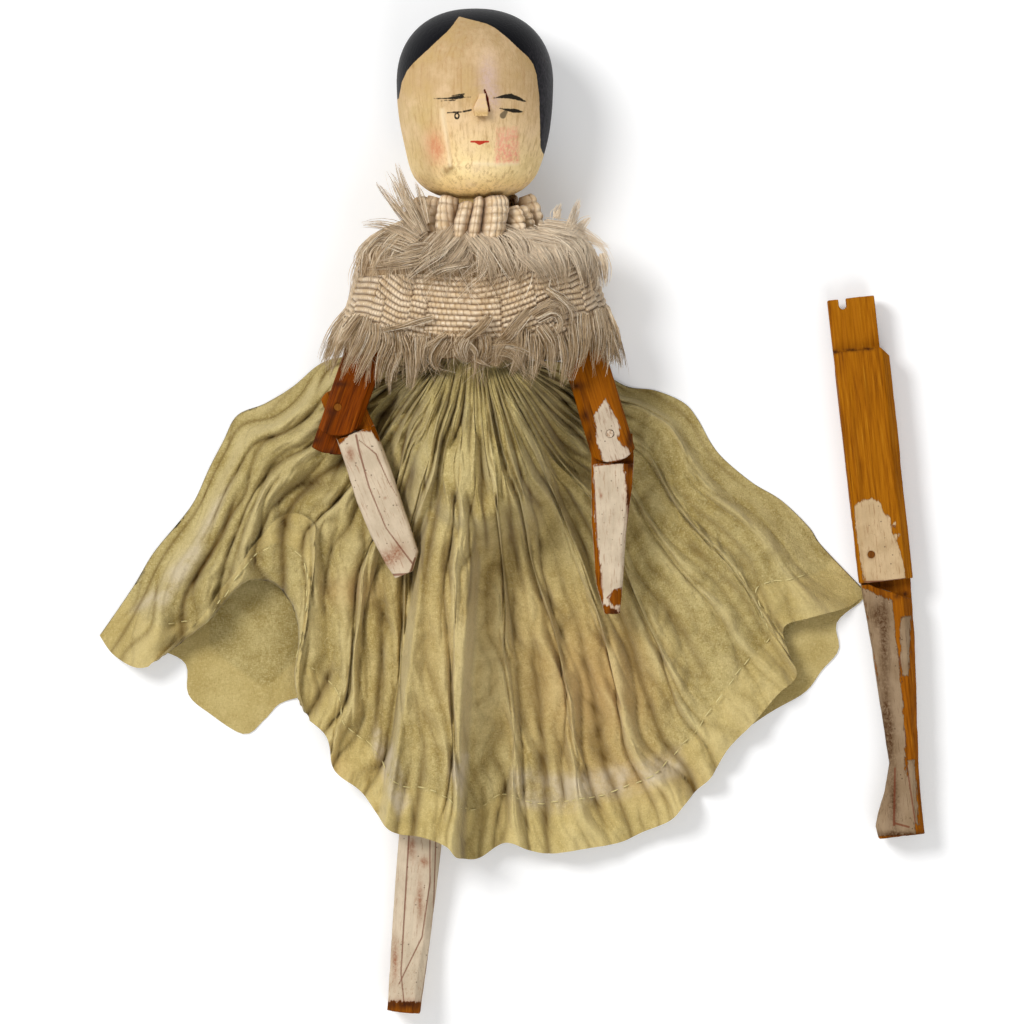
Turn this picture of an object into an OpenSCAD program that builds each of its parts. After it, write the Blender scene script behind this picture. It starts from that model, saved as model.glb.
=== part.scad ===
// A turned and pegged wooden doll in a silk dress, lying on its back beside its loose left leg.
// Lengths are in millimetres. +Z is up from the surface, and the crown of the head points to +Y.
// The doll's right side is -X and its left side is +X. The origin is on the surface, below the
// middle of the whole group.

/* [Head and body] */
// Height of the head, from the chin to the crown
head_h = 46.8; // [42:0.2:52]
// Widest diameter of the turned head
head_d = 39; // [37:0.2:42]
// Diameter of the neck
neck_d = 15; // [12:0.2:17]
// Diameter of the chest at the shoulders
chest_d = 30; // [28:0.2:31]
// Diameter of the waist
waist_d = 18; // [16:0.2:21]
// Diameter of the hips
hip_d = 24; // [23.2:0.2:25]
// Length of the body from the hip pegs up to the chin
body_l = 70.6; // [66:0.2:76]
// Length of the rounded end below the hip pegs
body_end_l = 11; // [9:0.2:11.2]
// Distance from the body's axis out to the slanted flat that an arm hangs against
shoulder_flat_x = 14; // [13.2:0.1:14.6]
// Length of the wedge set into the face as a nose
nose_l = 5.6; // [4:0.2:7]
// Width of the nose wedge
nose_w = 2.4; // [1.6:0.1:3.2]
// How far the nose stands out of the face
nose_h = 1.4; // [0.8:0.1:2.2]
// Depth of the slot that holds the nose wedge
nose_slot = 1.6; // [1:0.1:2.4]

/* [Pegs and joints] */
// Diameter of every peg
peg_d = 1.8; // [1.4:0.1:2.2]
// Radial clearance of a peg in the piece that turns on it
run_gap = 0.05; // [0.02:0.01:0.1]
// Clearance on each side of a tongue in its slot
slide_gap = 0.1; // [0.06:0.02:0.2]
// Clearance between the end of one limb piece and the shoulder of the next
end_gap = 0.25; // [0.15:0.05:0.4]
// How far a shoulder or hip peg goes into the body
peg_seat = 7; // [5:0.2:8]

/* [Arms] */
// Width of the right upper arm
right_arm_w = 10; // [8.6:0.2:10.4]
// Width of the left upper arm
left_arm_w = 10.9; // [9.6:0.1:11.6]
// Depth of an upper arm, from front to back
arm_d = 9; // [8:0.2:10]
// Shoulder peg to elbow peg on the right arm
right_arm_l = 41.5; // [38:0.5:44]
// Shoulder peg to elbow peg on the left arm
left_arm_l = 47.4; // [42:0.2:50]
// Wood above the shoulder peg
arm_top = 5; // [3.5:0.1:6]
// Radius of the rounded elbow end, about its peg
elbow_r = 7.2; // [6.6:0.1:7.8]
// Length of the right arm's longer back cheek below the elbow peg
right_cheek_l = 12; // [9:0.2:13]
// Thickness of a forearm's tongue
elbow_tongue_t = 3; // [2.2:0.1:3.6]
// Radius of the tongue's rounded top, about its peg
elbow_tongue_r = 4.6; // [3.6:0.1:5.4]
// Elbow peg to finger tips
forearm_l = 45; // [40:0.5:50]
// Greatest width of a forearm
forearm_w = 10.8; // [9.8:0.1:11.4]
// Depth of a forearm at the elbow
forearm_d = 8; // [7:0.2:9]
// Depth of the hand's blunt end
hand_d = 4.4; // [3.6:0.2:5.6]

/* [Legs] */
// Sideways width of a leg
leg_w = 11; // [10:0.1:11.6]
// Sideways width of a foot
foot_w = 8.4; // [7.4:0.2:9.4]
// Depth of a thigh, from front to back
thigh_d = 14.1; // [13:0.1:15]
// How far the pegs lie behind the front of the leg
peg_to_front = 3.7; // [3:0.1:4.4]
// Hip peg to knee peg
thigh_l = 62.7; // [56:0.3:68]
// Hip peg down to the thigh's shoulders
hip_tongue_l = 11.5; // [11.4:0.1:12.5]
// Wood above the hip peg
hip_tongue_top = 1.7; // [1.4:0.1:2.4]
// Depth of the hip tongue, from front to back
hip_tongue_d = 11.8; // [10:0.1:12.6]
// Thickness of the hip tongue
hip_tongue_t = 5; // [4.4:0.1:5.4]
// Thigh below the knee peg
knee_end_l = 7; // [6:0.1:8]
// Thickness of the shin's tongue
knee_tongue_t = 3.6; // [2.8:0.1:4.4]
// Knee peg to the sole
shin_l = 71; // [64:0.5:78]
// Depth of the foot, from toe to heel
foot_d = 12; // [10.5:0.1:13]
// Distance from the body's axis out to each hip slot
hip_slot_x = 5; // [4.8:0.1:5.4]
// How far the hip pegs lie in front of the body's axis
hip_peg_z = 3; // [2.4:0.1:3.4]

/* [Dress] */
// Width of the spread skirt
skirt_w = 192; // [176:1:200]
// Length of the skirt from the gathers to the lowest point of the hem
skirt_l = 122.8; // [110:0.2:128]
// Thickness that stands for the crumpled gauze
cloth_t = 0.6; // [0.4:0.05:0.8]
// Height of the skirt's main folds
fold_h = 2.4; // [1.2:0.1:3]
// Number of main folds across the front
fold_count = 11; // [8:1:13]
// Diameter of the gathering thread
thread_d = 0.9; // [0.5:0.1:1.2]
// Length of a stitch
stitch_l = 2; // [1.4:0.1:2.4]
// Thickness of the stitching thread
stitch_d = 0.3; // [0.2:0.05:0.5]
// Thickness of the ribbed tape and band
tape_t = 1; // [0.6:0.1:1.2]
// Depth of the silk fringe
fringe_t = 1; // [0.6:0.1:1.2]
// Ease of the dress round the arms
cape_ease = 2.2; // [2:0.1:3]
// Height of the ribbed chest band
chest_band_l = 14.4; // [12:0.2:16]
// Length of the fringe below the chest band, at the front
chest_fringe_l = 11.8; // [9:0.2:12]
// Length of the fringe below the neck, at the front
neck_fringe_l = 8.8; // [6:0.2:9]
// Height of the flutes round the neck
ruche_h = 9.6; // [8:0.2:9.8]
// How far the flutes reach up past the chin
ruche_over = 1.2; // [0:0.1:1.4]
// Middle diameter of the fluted tape
ruche_d = 28.4; // [28:0.1:29]
// Height of one flute's wave
flute_h = 3.2; // [2.4:0.1:3.4]
// Number of flutes round the neck
flute_count = 18; // [12:1:22]

/* [Pose] */
// Slant of the right arm away from the body
right_splay = 19; // [17:0.2:20]
// Slant of the left arm away from the body
left_splay = 17; // [15:0.2:20]
// Bend of the right elbow
right_bend = 40.8; // [36:0.1:41.2]
// Bend of the left elbow
left_bend = 16.4; // [10:0.2:24]
// How far the arms are raised in front of the body's line
arm_lift = 3; // [2.4:0.1:4]
// Slant of the right leg away from the body
leg_splay = 5.5; // [4.5:0.1:6]
// Drop of the right leg below the body's line
leg_drop = 0.4; // [0:0.1:0.5]
// How far a knee bends
knee_max = 25; // [15:1:30]
// Slant of the loose leg on the surface
loose_slant = 6.4; // [4:0.1:8]
// How far above the doll's hips the loose leg's hip end lies
loose_up = 43.5; // [38:0.5:50]

/* [Hidden] */
$fn = 48;
overrun = 30;
soft_gap = 0.3;
cloth_gap = 1;
head_r = head_d / 2;
neck_r = neck_d / 2;
chest_r = chest_d / 2;
waist_r = waist_d / 2;
hip_r = hip_d / 2;
peg_r = peg_d / 2;
bore_r = peg_r + run_gap;
leg_l = thigh_l + shin_l;

// The head: its widest point, the squareness of the crown, and the jaw as shares of height and radius.
widest_share = 0.59;
crown_power = 2.25;
jaw_shares = [[0.013, 0.51], [0.044, 0.646], [0.097, 0.78], [0.16, 0.856], [0.244, 0.913],
    [0.349, 0.959], [0.475, 0.99]];
// Places along the body, as shares of its length above the hip pegs.
hip_top_share = 0.1;
waist_share = 0.4;
gather_share = 0.425;
shoulder_share = 0.78;
neck_share = 0.94;
// The nose's place: share of the head's height above the chin, and its turn from the middle of the face.
nose_share = 0.5;
face_turn = 4.5;

// The body rests on the back of the head, just below its widest point, and, through the skirt, on the hips.
hip_z = hip_r + cloth_t + soft_gap;
touch = jaw_shares[len(jaw_shares) - 1];
lie_tilt = asin((touch[1] * head_r - hip_z) / (body_l + touch[0] * head_h));
hip_y = (leg_l * cos(leg_splay) + foot_w / 2 * sin(leg_splay) - (body_l + head_h) * cos(lie_tilt)) / 2;
shoulder_y = shoulder_share * body_l;

// The hem from the doll's right corner round to its left corner: shares of the skirt's width from the
// body's axis, and of its length below the gathers.
hem_shares = [[-0.49, 0.55], [-0.424, 0.607], [-0.377, 0.68], [-0.307, 0.752], [-0.248, 0.68],
    [-0.183, 0.802], [-0.105, 0.941], [-0.04, 0.976], [0.006, 1], [0.097, 0.992], [0.175, 0.971],
    [0.247, 0.931], [0.325, 0.796], [0.403, 0.717], [0.468, 0.599], [0.5, 0.468]];
// Where the skirt's two side folds bulge to, in the same shares.
right_bulge_shares = [-0.339, 0];
left_bulge_shares = [0.318, 0.024];
corner_shares = hem_shares[len(hem_shares) - 1];
gather_y = gather_share * body_l;

// The loose leg lies against the skirt's left corner, and the whole group is centred on the origin.
toe_share = 0.53;
corner_down = loose_up - gather_y + corner_shares[1] * skirt_l;
loose_x = corner_shares[0] * skirt_w + soft_gap + peg_to_front - corner_down * tan(loose_slant);
heel_x = loose_x + leg_l * sin(loose_slant) + (1 - toe_share) * foot_d * cos(loose_slant);
axis_x = -(heel_x + hem_shares[0][0] * skirt_w) / 2;

// A blend from 0 to 1 with flat ends.
function ease(t) = t <= 0 ? 0 : t >= 1 ? 1 : t * t * (3 - 2 * t);

function mix(a, b, t) = a + (b - a) * t;

// A smooth curve through listed points, for t from 0 to 1.
function through(p, t) = let (n = len(p) - 1, i = min(floor(t * n), n - 1), f = t * n - i,
        a = p[max(i - 1, 0)], b = p[i], c = p[i + 1], d = p[min(i + 2, n)])
    b + f * ((c - a) + f * ((2 * a - 5 * b + 4 * c - d) + f * (3 * (b - c) + d - a))) / 2;

// Height of the body's axis above the surface, at a distance above the hips.
function axis_z(y) = hip_z + y * tan(lie_tilt);

// Radius of the turned body between the shoulders and the neck.
function slope_r(share) = neck_r
    + (chest_r - neck_r) * (1 - ease((share - shoulder_share) / (neck_share - shoulder_share)));

// Outline of the turned piece as [radius, height above the hip pegs].
turned_outline = concat(
    [for (a = [0:10:80]) [hip_r * sin(a), -body_end_l * cos(a)]],
    [[hip_r, 0], [hip_r, hip_top_share * body_l]],
    [for (t = [0.2:0.2:1]) [mix(hip_r, waist_r, ease(t)),
        body_l * mix(hip_top_share, waist_share, t)]],
    [for (t = [0.15:0.15:0.9]) [mix(waist_r, chest_r, ease(t)),
        body_l * mix(waist_share, shoulder_share, t)]],
    [[chest_r, shoulder_share * body_l]],
    [for (t = [0.25:0.25:1]) let (share = mix(shoulder_share, neck_share, t))
        [slope_r(share), share * body_l]],
    [[neck_r, body_l]],
    [for (s = jaw_shares) [s[1] * head_r, body_l + s[0] * head_h]],
    [for (a = [0:6:84]) [head_r * pow(1 - pow(sin(a), crown_power), 1 / crown_power),
        body_l + head_h * mix(widest_share, 1, sin(a))]],
    [[0, body_l + head_h]]);

// A closed solid through rings of points, each ring further down -Y than the last.
module loft(rings) {
    n = len(rings[0]);
    m = len(rings);
    polyhedron(points = [for (r = rings) each r], faces = concat(
        [[for (k = [0:n - 1]) k]],
        [[for (k = [n - 1:-1:0]) (m - 1) * n + k]],
        wall_faces(n, m, 0)));
}

// A closed shell between two sets of rings, open at both ends.
module sleeve(outer, inner) {
    n = len(outer[0]);
    m = len(outer);
    last = (m - 1) * n;
    polyhedron(points = concat([for (r = outer) each r], [for (r = inner) each r]), faces = concat(
        wall_faces(n, m, 0),
        [for (f = wall_faces(n, m, m * n)) [f[2], f[1], f[0]]],
        [for (k = [0:n - 1]) each let (a = k, b = (k + 1) % n, c = m * n)
            [[a, b, c + b], [a, c + b, c + a]]],
        [for (k = [0:n - 1]) each let (a = last + k, b = last + (k + 1) % n, c = m * n)
            [[b, a, c + b], [a, c + a, c + b]]]));
}

function wall_faces(n, m, first) = [for (i = [0:m - 2], k = [0:n - 1])
    each let (a = first + i * n + k, b = first + i * n + (k + 1) % n) [[a, a + n, b + n], [a, b + n, b]]];

// One ring of a whittled stick: an oblong with its corners cut, across the stick at height y.
function oblong(y, x0, x1, z0, z1, c) = [[x0 + c, y, z0], [x1 - c, y, z0], [x1, y, z0 + c],
    [x1, y, z1 - c], [x1 - c, y, z1], [x0 + c, y, z1], [x0, y, z1 - c], [x0, y, z0 + c]];

// A block that reaches well past a limb in X and Z, from height y0 up to y1.
module band(y0, y1, z0 = -overrun, z1 = overrun) {
    translate([-overrun, y0, z0]) cube([2 * overrun, y1 - y0, z1 - z0]);
}

// The body lies at a slight slope, with its hips at height hip_z. Its own frame has the axis along +Y.
module lying() translate([axis_x, hip_y, hip_z]) rotate([lie_tilt, 0, 0]) children();

// Head and body, turned from one piece of wood.
module head_torso() color("#d9c49a") lying() difference() {
    rotate([-90, 0, 0]) rotate_extrude($fn = 96) polygon(turned_outline);
    for (side = [-1, 1]) {
        at_shoulder(side) {
            translate([side * overrun / 2, 0, 0]) cube(overrun, center = true);
            rotate([0, 90, 0]) cylinder(r = peg_r, h = 2 * peg_seat, center = true);
        }
        at_hip(side) {
            hip_slot();
            hip_bore(side);
        }
    }
    at_nose() nose_block(nose_slot);
}

function splay(side) = side < 0 ? right_splay : left_splay;
function arm_w(side) = side < 0 ? right_arm_w : left_arm_w;
function arm_l(side) = side < 0 ? right_arm_l : left_arm_l;

// The middle of a shoulder flat, turned to the arm's slant. side is -1 on the doll's right and 1 on its left.
module at_shoulder(side) {
    translate([side * shoulder_flat_x, shoulder_y, 0]) rotate([0, 0, side * splay(side)]) children();
}

// The right leg hangs at its slant. The left slot is cut straight, and is empty.
module at_hip(side) {
    translate([side * hip_slot_x, 0, hip_peg_z]) rotate([0, 0, side < 0 ? -leg_splay : 0]) children();
}

hip_slot_t = hip_tongue_t + 2 * slide_gap;
hip_back = hip_tongue_d - peg_to_front;
hip_slot_top = sqrt(hip_back * hip_back + hip_tongue_top * hip_tongue_top) + end_gap;

module hip_slot() {
    translate([-hip_slot_t / 2, -overrun, -overrun])
        cube([hip_slot_t, overrun + hip_slot_top, 2 * overrun]);
}

// A hip bore runs in from the side of the hips, through the slot and into the middle web.
hip_bore_in = hip_slot_x - peg_d / 2;

module hip_bore(side) {
    rotate([0, side * 90, 0]) translate([0, 0, -hip_bore_in]) cylinder(r = peg_r, h = overrun);
}

// The nose, a wedge of wood pushed into a slot in the face.
module at_nose() {
    translate([0, body_l + nose_share * head_h, 0]) rotate([0, face_turn, 0])
        translate([0, 0, head_r]) children();
}

module nose_block(depth) {
    translate([-nose_w / 2, -nose_l / 2, -depth]) cube([nose_w, nose_l, depth]);
}

module nose_wedge() color("#b98a5a") lying() at_nose() {
    nose_block(nose_slot);
    translate([nose_w / 2, 0, 0]) rotate([0, -90, 0]) linear_extrude(height = nose_w)
        polygon([[0, -nose_l / 2], [nose_h, -nose_l / 2], [0, nose_l / 2]]);
}

// The arm's own frame has the shoulder peg at its origin, and -Y runs down the arm.
module at_arm(side) lying() at_shoulder(side)
    translate([side * (slide_gap + arm_w(side) / 2), 0, 0]) rotate([-arm_lift, 0, 0]) children();

module shoulder_peg(side) {
    reach = slide_gap + arm_w(side) - peg_seat;
    rotate([0, side * 90, 0]) translate([0, 0, -slide_gap - arm_w(side) / 2 - peg_seat])
        cylinder(r = peg_r, h = reach + 2 * peg_seat);
}

module right_shoulder_peg() color("#b07a3c") at_arm(-1) shoulder_peg(-1);
module left_shoulder_peg() color("#b07a3c") at_arm(1) shoulder_peg(1);

// The right elbow's peg lies off the middle of the arm, towards its outer edge.
right_elbow_off_share = 0.2;
left_elbow_off_share = 0.05;
arm_cut_share = 0.16;
elbow_slot_t = elbow_tongue_t + 2 * slide_gap;
elbow_slot_top = elbow_tongue_r + end_gap;

module at_elbow(side) {
    share = side < 0 ? right_elbow_off_share : left_elbow_off_share;
    translate([side * share * arm_w(side), -arm_l(side), 0]) children();
}

// An upper arm: a whittled stick with a slot for the forearm and a rounded end about the elbow peg.
module upper_arm(side, cheek_l) {
    w = arm_w(side);
    cut = arm_cut_share * w;
    difference() {
        loft([oblong(arm_top, cut - w / 2, w / 2 - cut, cut - arm_d / 2, arm_d / 2 - cut, cut / 2),
            oblong(arm_top - cut, -w / 2, w / 2, -arm_d / 2, arm_d / 2, cut),
            oblong(-arm_l(side) - cheek_l, -w / 2, w / 2, -arm_d / 2, arm_d / 2, cut)]);
        rotate([0, 90, 0]) cylinder(r = bore_r, h = 2 * overrun, center = true);
        at_elbow(side) {
            translate([0, 0, -elbow_slot_t / 2]) difference() {
                band(-overrun, 0, 0, overrun);
                cylinder(r = elbow_r, h = overrun);
            }
            translate([0, 0, elbow_slot_t / 2]) mirror([0, 0, 1]) difference() {
                band(-overrun, 0, 0, overrun);
                cylinder(r = cheek_l, h = overrun);
            }
            band(-overrun, elbow_slot_top, -elbow_slot_t / 2, elbow_slot_t / 2);
            cylinder(r = peg_r, h = overrun, center = true);
        }
    }
}

module right_upper_arm() color("#a8641e") at_arm(-1) upper_arm(-1, right_cheek_l);
module left_upper_arm() color("#a8641e") at_arm(1) upper_arm(1, elbow_r);

module elbow_peg() cylinder(r = peg_r, h = arm_d, center = true);

module right_elbow_peg() color("#c08a4c") at_arm(-1) at_elbow(-1) elbow_peg();
module left_elbow_peg() color("#c08a4c") at_arm(1) at_elbow(1) elbow_peg();

// A forearm's outline: share of its length below the elbow peg, then its inner and outer edges as
// shares of its width from the peg.
right_forearm_shares = [[-0.1, 0.56, -0.3], [0.17, 0.64, -0.3], [0.33, 0.63, -0.34], [0.53, 0.59, -0.41],
    [0.73, 0.54, -0.41], [0.91, 0.49, -0.32], [1, 0.2, -0.24]];
left_forearm_shares = [[-0.1, 0.42, -0.5], [0.16, 0.44, -0.55], [0.3, 0.44, -0.5], [0.45, 0.44, -0.41],
    [0.56, 0.43, -0.35], [0.84, 0.35, -0.26], [1, 0.17, -0.19]];
forearm_cut_share = 0.15;
hand_share = 0.9;

// A forearm: a whittled, painted stick that ends in a blunt hand, with a tongue at the elbow.
module forearm(side, shares, cheek_l) {
    difference() {
        loft([for (s = shares) let (d = mix(forearm_d, hand_d, ease(max(s[0], 0) / hand_share)),
            a = -side * s[1] * forearm_w, b = -side * s[2] * forearm_w)
            oblong(-s[0] * forearm_l, min(a, b), max(a, b), -d / 2, d / 2, forearm_cut_share * d)]);
        band(-elbow_r - end_gap, overrun, elbow_tongue_t / 2, overrun);
        band(-cheek_l - end_gap, overrun, -overrun, -elbow_tongue_t / 2);
        difference() {
            band(0, overrun);
            cylinder(r = elbow_tongue_r, h = overrun, center = true);
        }
        cylinder(r = bore_r, h = overrun, center = true);
    }
}

function bend(side) = side < 0 ? right_bend : left_bend;

module at_forearm(side) at_arm(side) at_elbow(side) rotate([0, 0, -side * bend(side)]) children();

module right_forearm() color("#d8ccc0") at_forearm(-1) forearm(-1, right_forearm_shares, right_cheek_l);
module left_forearm() color("#d8ccc0") at_forearm(1) forearm(1, left_forearm_shares, elbow_r);

// The leg's own frame has the hip peg at its origin, -Y down the leg and +Z at its front.
module at_right_leg() lying() at_hip(-1) rotate([leg_drop, 0, 0]) children();

// The loose leg lies on its inner side, with its outer side up and its toe towards -X.
module at_loose_leg() {
    translate([axis_x + loose_x, hip_y + loose_up, leg_w / 2]) rotate([0, 0, loose_slant])
        rotate([0, -90, 0]) children();
}

leg_cut_share = 0.18;
thigh_end_share = 0.955;
hip_step = thigh_d - hip_tongue_d;
knee_slot_t = knee_tongue_t + 2 * slide_gap;
knee_tongue_share = 0.65;
knee_slot_top = thigh_d - peg_to_front;

// A thigh: a whittled stick with a tongue for the hip slot and a slot for the shin's tongue.
module thigh() {
    difference() {
        loft([for (end = [[hip_tongue_top, 1], [-thigh_l - knee_end_l, thigh_end_share]])
            oblong(end[0], -leg_w / 2, leg_w / 2, peg_to_front - end[1] * thigh_d, peg_to_front,
                leg_cut_share * leg_w)]);
        for (side = [-1, 1]) translate([side * (hip_tongue_t + overrun) / 2, 0, 0])
            cube([overrun, 2 * hip_tongue_l, 2 * overrun], center = true);
        band(-hip_tongue_l, overrun, -overrun, -hip_back);
        translate([0, -hip_tongue_l, -hip_back]) rotate([-45, 0, 0]) band(0, overrun, -overrun, 0);
        translate([-knee_slot_t / 2, -thigh_l - overrun, -overrun])
            cube([knee_slot_t, overrun + knee_slot_top, 2 * overrun]);
        translate([0, -thigh_l, 0]) rotate([0, 90, 0]) cylinder(r = peg_r, h = 2 * overrun, center = true);
        rotate([0, 90, 0]) cylinder(r = bore_r, h = 2 * overrun, center = true);
    }
}

module right_thigh() color("#a8641e") at_right_leg() thigh();

// The loose thigh's hip bore has broken out through the top of its tongue.
module left_thigh() color("#a8641e") at_loose_leg() difference() {
    thigh();
    translate([-overrun, 0, -bore_r]) cube([2 * overrun, overrun, 2 * bore_r]);
}

module knee_peg() {
    translate([0, -thigh_l, 0]) rotate([0, 90, 0]) cylinder(r = peg_r, h = leg_w, center = true);
}

module right_knee_peg() color("#c08a4c") at_right_leg() knee_peg();
module left_knee_peg() color("#c08a4c") at_loose_leg() knee_peg();

// The hip peg is flush with the side of the hips.
module right_hip_peg() color("#b07a3c") lying() at_hip(-1) {
    side_x = sqrt(hip_r * hip_r - hip_peg_z * hip_peg_z) - hip_slot_x;
    translate([-side_x, 0, 0]) rotate([0, 90, 0]) cylinder(r = peg_r, h = side_x + hip_bore_in);
}

// A shin's outline: share of its length below the knee peg, front and back edges as shares of the
// thigh's depth, and its width as a share of the way from the leg's width to the foot's.
shin_shares = [[-0.07, 0.23, -0.5, 0], [0.1, 0.235, -0.66, 0], [0.34, 0.16, -0.6, 0],
    [0.55, 0.12, -0.52, 0.2], [0.74, 0.08, -0.43, 0.5], [0.84, 0.23, -0.405, 0.7], [0.91, 0.38, -0.4, 0.85]];
sole_toe_share = 0.49;
shin_cut_share = 0.22;

// A shin with its foot, whittled from one stick, with a tongue for the thigh's slot.
module shin() {
    difference() {
        loft(concat([for (s = shin_shares) let (w = mix(leg_w, foot_w, s[3]),
                d = (s[1] - s[2]) * thigh_d)
                oblong(-s[0] * shin_l, -w / 2, w / 2, s[2] * thigh_d, s[1] * thigh_d,
                    shin_cut_share * min(w, d))],
            [for (s = [[0.955, toe_share], [1, sole_toe_share]])
                oblong(-s[0] * shin_l, -foot_w / 2, foot_w / 2, -(1 - toe_share) * foot_d, s[1] * foot_d,
                    shin_cut_share * foot_w)]));
        for (side = [-1, 1]) translate([side * (knee_tongue_t + overrun) / 2, 0, 0])
            for (a = [0, -knee_max]) rotate([a, 0, 0])
                translate([-overrun / 2, -knee_end_l - end_gap, -overrun])
                    cube([overrun, overrun, 2 * overrun]);
        difference() {
            band(0, overrun);
            rotate([0, 90, 0]) cylinder(r = knee_tongue_share * thigh_d / 2, h = 2 * overrun, center = true);
        }
        rotate([0, 90, 0]) cylinder(r = bore_r, h = 2 * overrun, center = true);
    }
}

module right_shin() color("#cbbfae") at_right_leg() translate([0, -thigh_l, 0]) shin();
module left_shin() color("#9a8b78") at_loose_leg() translate([0, -thigh_l, 0]) shin();

// What the skirt's front layer lies over: the body with its rounded end, and the right leg. Each has a top
// at a height above the hips. The cloth falls from there to its side height, past each side.
function leg_z(y) = hip_z + hip_peg_z + peg_to_front + y * tan(lie_tilt + leg_drop);
function leg_x(y) = -hip_slot_x + y * tan(leg_splay);

side_z = 2 * cloth_t + soft_gap;
body_top_share = 0.75;
body_fall = 14.5;
leg_fall = 3;
knee_room_share = 0.3;
fold_start_share = 0.35;
drape_start_share = 0.12;
back_fall_share = 0.13;
side_fall_share = 0.3;

function falling(top, out, fall) = mix(top + cloth_gap, side_z, ease(out / fall));

function over_body(x, y) = let (low = [0, hip_top_share * body_l, gather_y], r = [hip_r, hip_r, waist_r],
        half = lookup(y, [for (i = [0:len(low) - 1]) [low[i], r[i]]]))
    falling(axis_z(max(y, 0)) + half,
        (norm([x / half, min(y, 0) / body_end_l]) - body_top_share) * half, body_fall);

function over_leg(x, y) = falling(leg_z(y),
    abs(x - leg_x(y)) - (1 + knee_room_share * pow(y / thigh_l, 2)) * leg_w / 2, leg_fall);

function drape(x, y) = max(over_body(x, y), over_leg(x, y));

function hem(s) = let (h = through(hem_shares, s)) [h[0] * skirt_w, -h[1] * skirt_l];
gather_r = waist_r + soft_gap;

// A place on the skirt seen from above, from the body's axis and the hips: s runs across it and v down it.
function spread(s, v) = let (w = [-(gather_r + cloth_t) * cos(180 * s), 0], h = hem(s),
        side = s < 0.5 ? right_bulge_shares : left_bulge_shares,
        c = mix((w + h) / 2, [side[0] * skirt_w, -side[1] * skirt_l], pow(abs(2 * s - 1), 3)),
        p = (1 - v) * (1 - v) * w + 2 * v * (1 - v) * c + v * v * h)
    [p[0], p[1] + gather_y];

// Height of the underside of the back layer, and of the underside of the front layer.
function back_z(s, v) = mix(axis_z(gather_y) - (gather_r + cloth_t) * sin(180 * s), 0,
    ease(v / mix(back_fall_share, side_fall_share, abs(2 * s - 1))));
function front_z(s, v) = let (p = spread(s, v), d = drape(p[0], p[1]),
        fold = (1 + cos(360 * fold_count * s)) / 2 * (1 - d / (hip_z + 2 * hip_r))
            * ease(v / fold_start_share))
    max(back_z(s, v) + side_z,
        mix(axis_z(gather_y) + gather_r * sin(180 * s), d + fold_h * fold, ease(v / drape_start_share)));

front_steps = 4 * fold_count;
back_steps = 14;
skirt_v_shares = [0, 0.06, 0.14, 0.22, 0.3, 0.39, 0.54, 0.72, 0.88, 1];

// A ring of the skirt: along the back layer, then back along the front one. t is the cloth's
// thickness on the outer ring and 0 on the inner one.
function skirt_ring(v, t) = let (d = cloth_t - t) concat(
    [for (i = [0:back_steps]) let (s = i / back_steps, p = spread(s, v))
        [axis_x + p[0] + d * sign(1 - 2 * s) * ease(abs(1 - 2 * s)), hip_y + p[1], back_z(s, v) + d]],
    [for (i = [front_steps:-1:0]) let (s = i / front_steps, p = spread(s, v))
        [axis_x + p[0] + d * sign(1 - 2 * s) * ease(abs(1 - 2 * s)), hip_y + p[1], front_z(s, v) + t]]);

// The skirt: one tube of silk gauze, gathered at the waist, open at the waist and the hem.
module skirt() color("#b5ab76") sleeve([for (v = skirt_v_shares) skirt_ring(v, cloth_t)],
    [for (v = skirt_v_shares) skirt_ring(v, 0)]);

// The thread that draws the gathers together.
module waist_thread() color("#c9bf8f") lying() translate([0, gather_y + 2 * thread_d, 0]) rotate([90, 0, 0])
    rotate_extrude() translate([gather_r + cloth_t, 0]) circle(d = thread_d);

// The running stitches along the top of the hem, one on each facet of the front layer.
hem_row = len(skirt_v_shares) - 2;

module hem_thread() color("#dccf90") {
    ring = skirt_ring(skirt_v_shares[hem_row], cloth_t);
    for (i = [back_steps + 1:back_steps + front_steps]) {
        a = ring[i];
        b = ring[i + 1];
        d = a - b;
        translate((a + b) / 2 + [0, 0, 2 * stitch_d]) rotate([0, -asin(d[2] / norm(d)), atan2(d[1], d[0])])
            cube([stitch_l, stitch_d, stitch_d], center = true);
    }
}

// How far the outer edge of an arm lies from the body's axis, at a height above the hips.
function arm_edge(side, y) = shoulder_flat_x + (slide_gap + arm_w(side)) / cos(splay(side))
    + (shoulder_y - y) * tan(splay(side));

// The trimming's top, falling from over the chest to over the gathers.
band_y = shoulder_y - arm_top;
fringe_y = band_y - chest_band_l - soft_gap;
cape_low_y = fringe_y - chest_fringe_l;
cape_top = axis_z(shoulder_y) + chest_r + tape_t + cloth_gap;
cape_low_top = axis_z(gather_y) + gather_r + cloth_t + 3 * thread_d / 2 + fringe_t + soft_gap;
fringe_rise_share = 0.56;
shoulder_rise_share = 1.36;
collar_in_share = 0.2;
oval_power = 2.6;
oval_steps = 40;

function cape_z(y) = mix(cape_low_top, cape_top, (y - cape_low_y) / (shoulder_y - cape_low_y));

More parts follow.
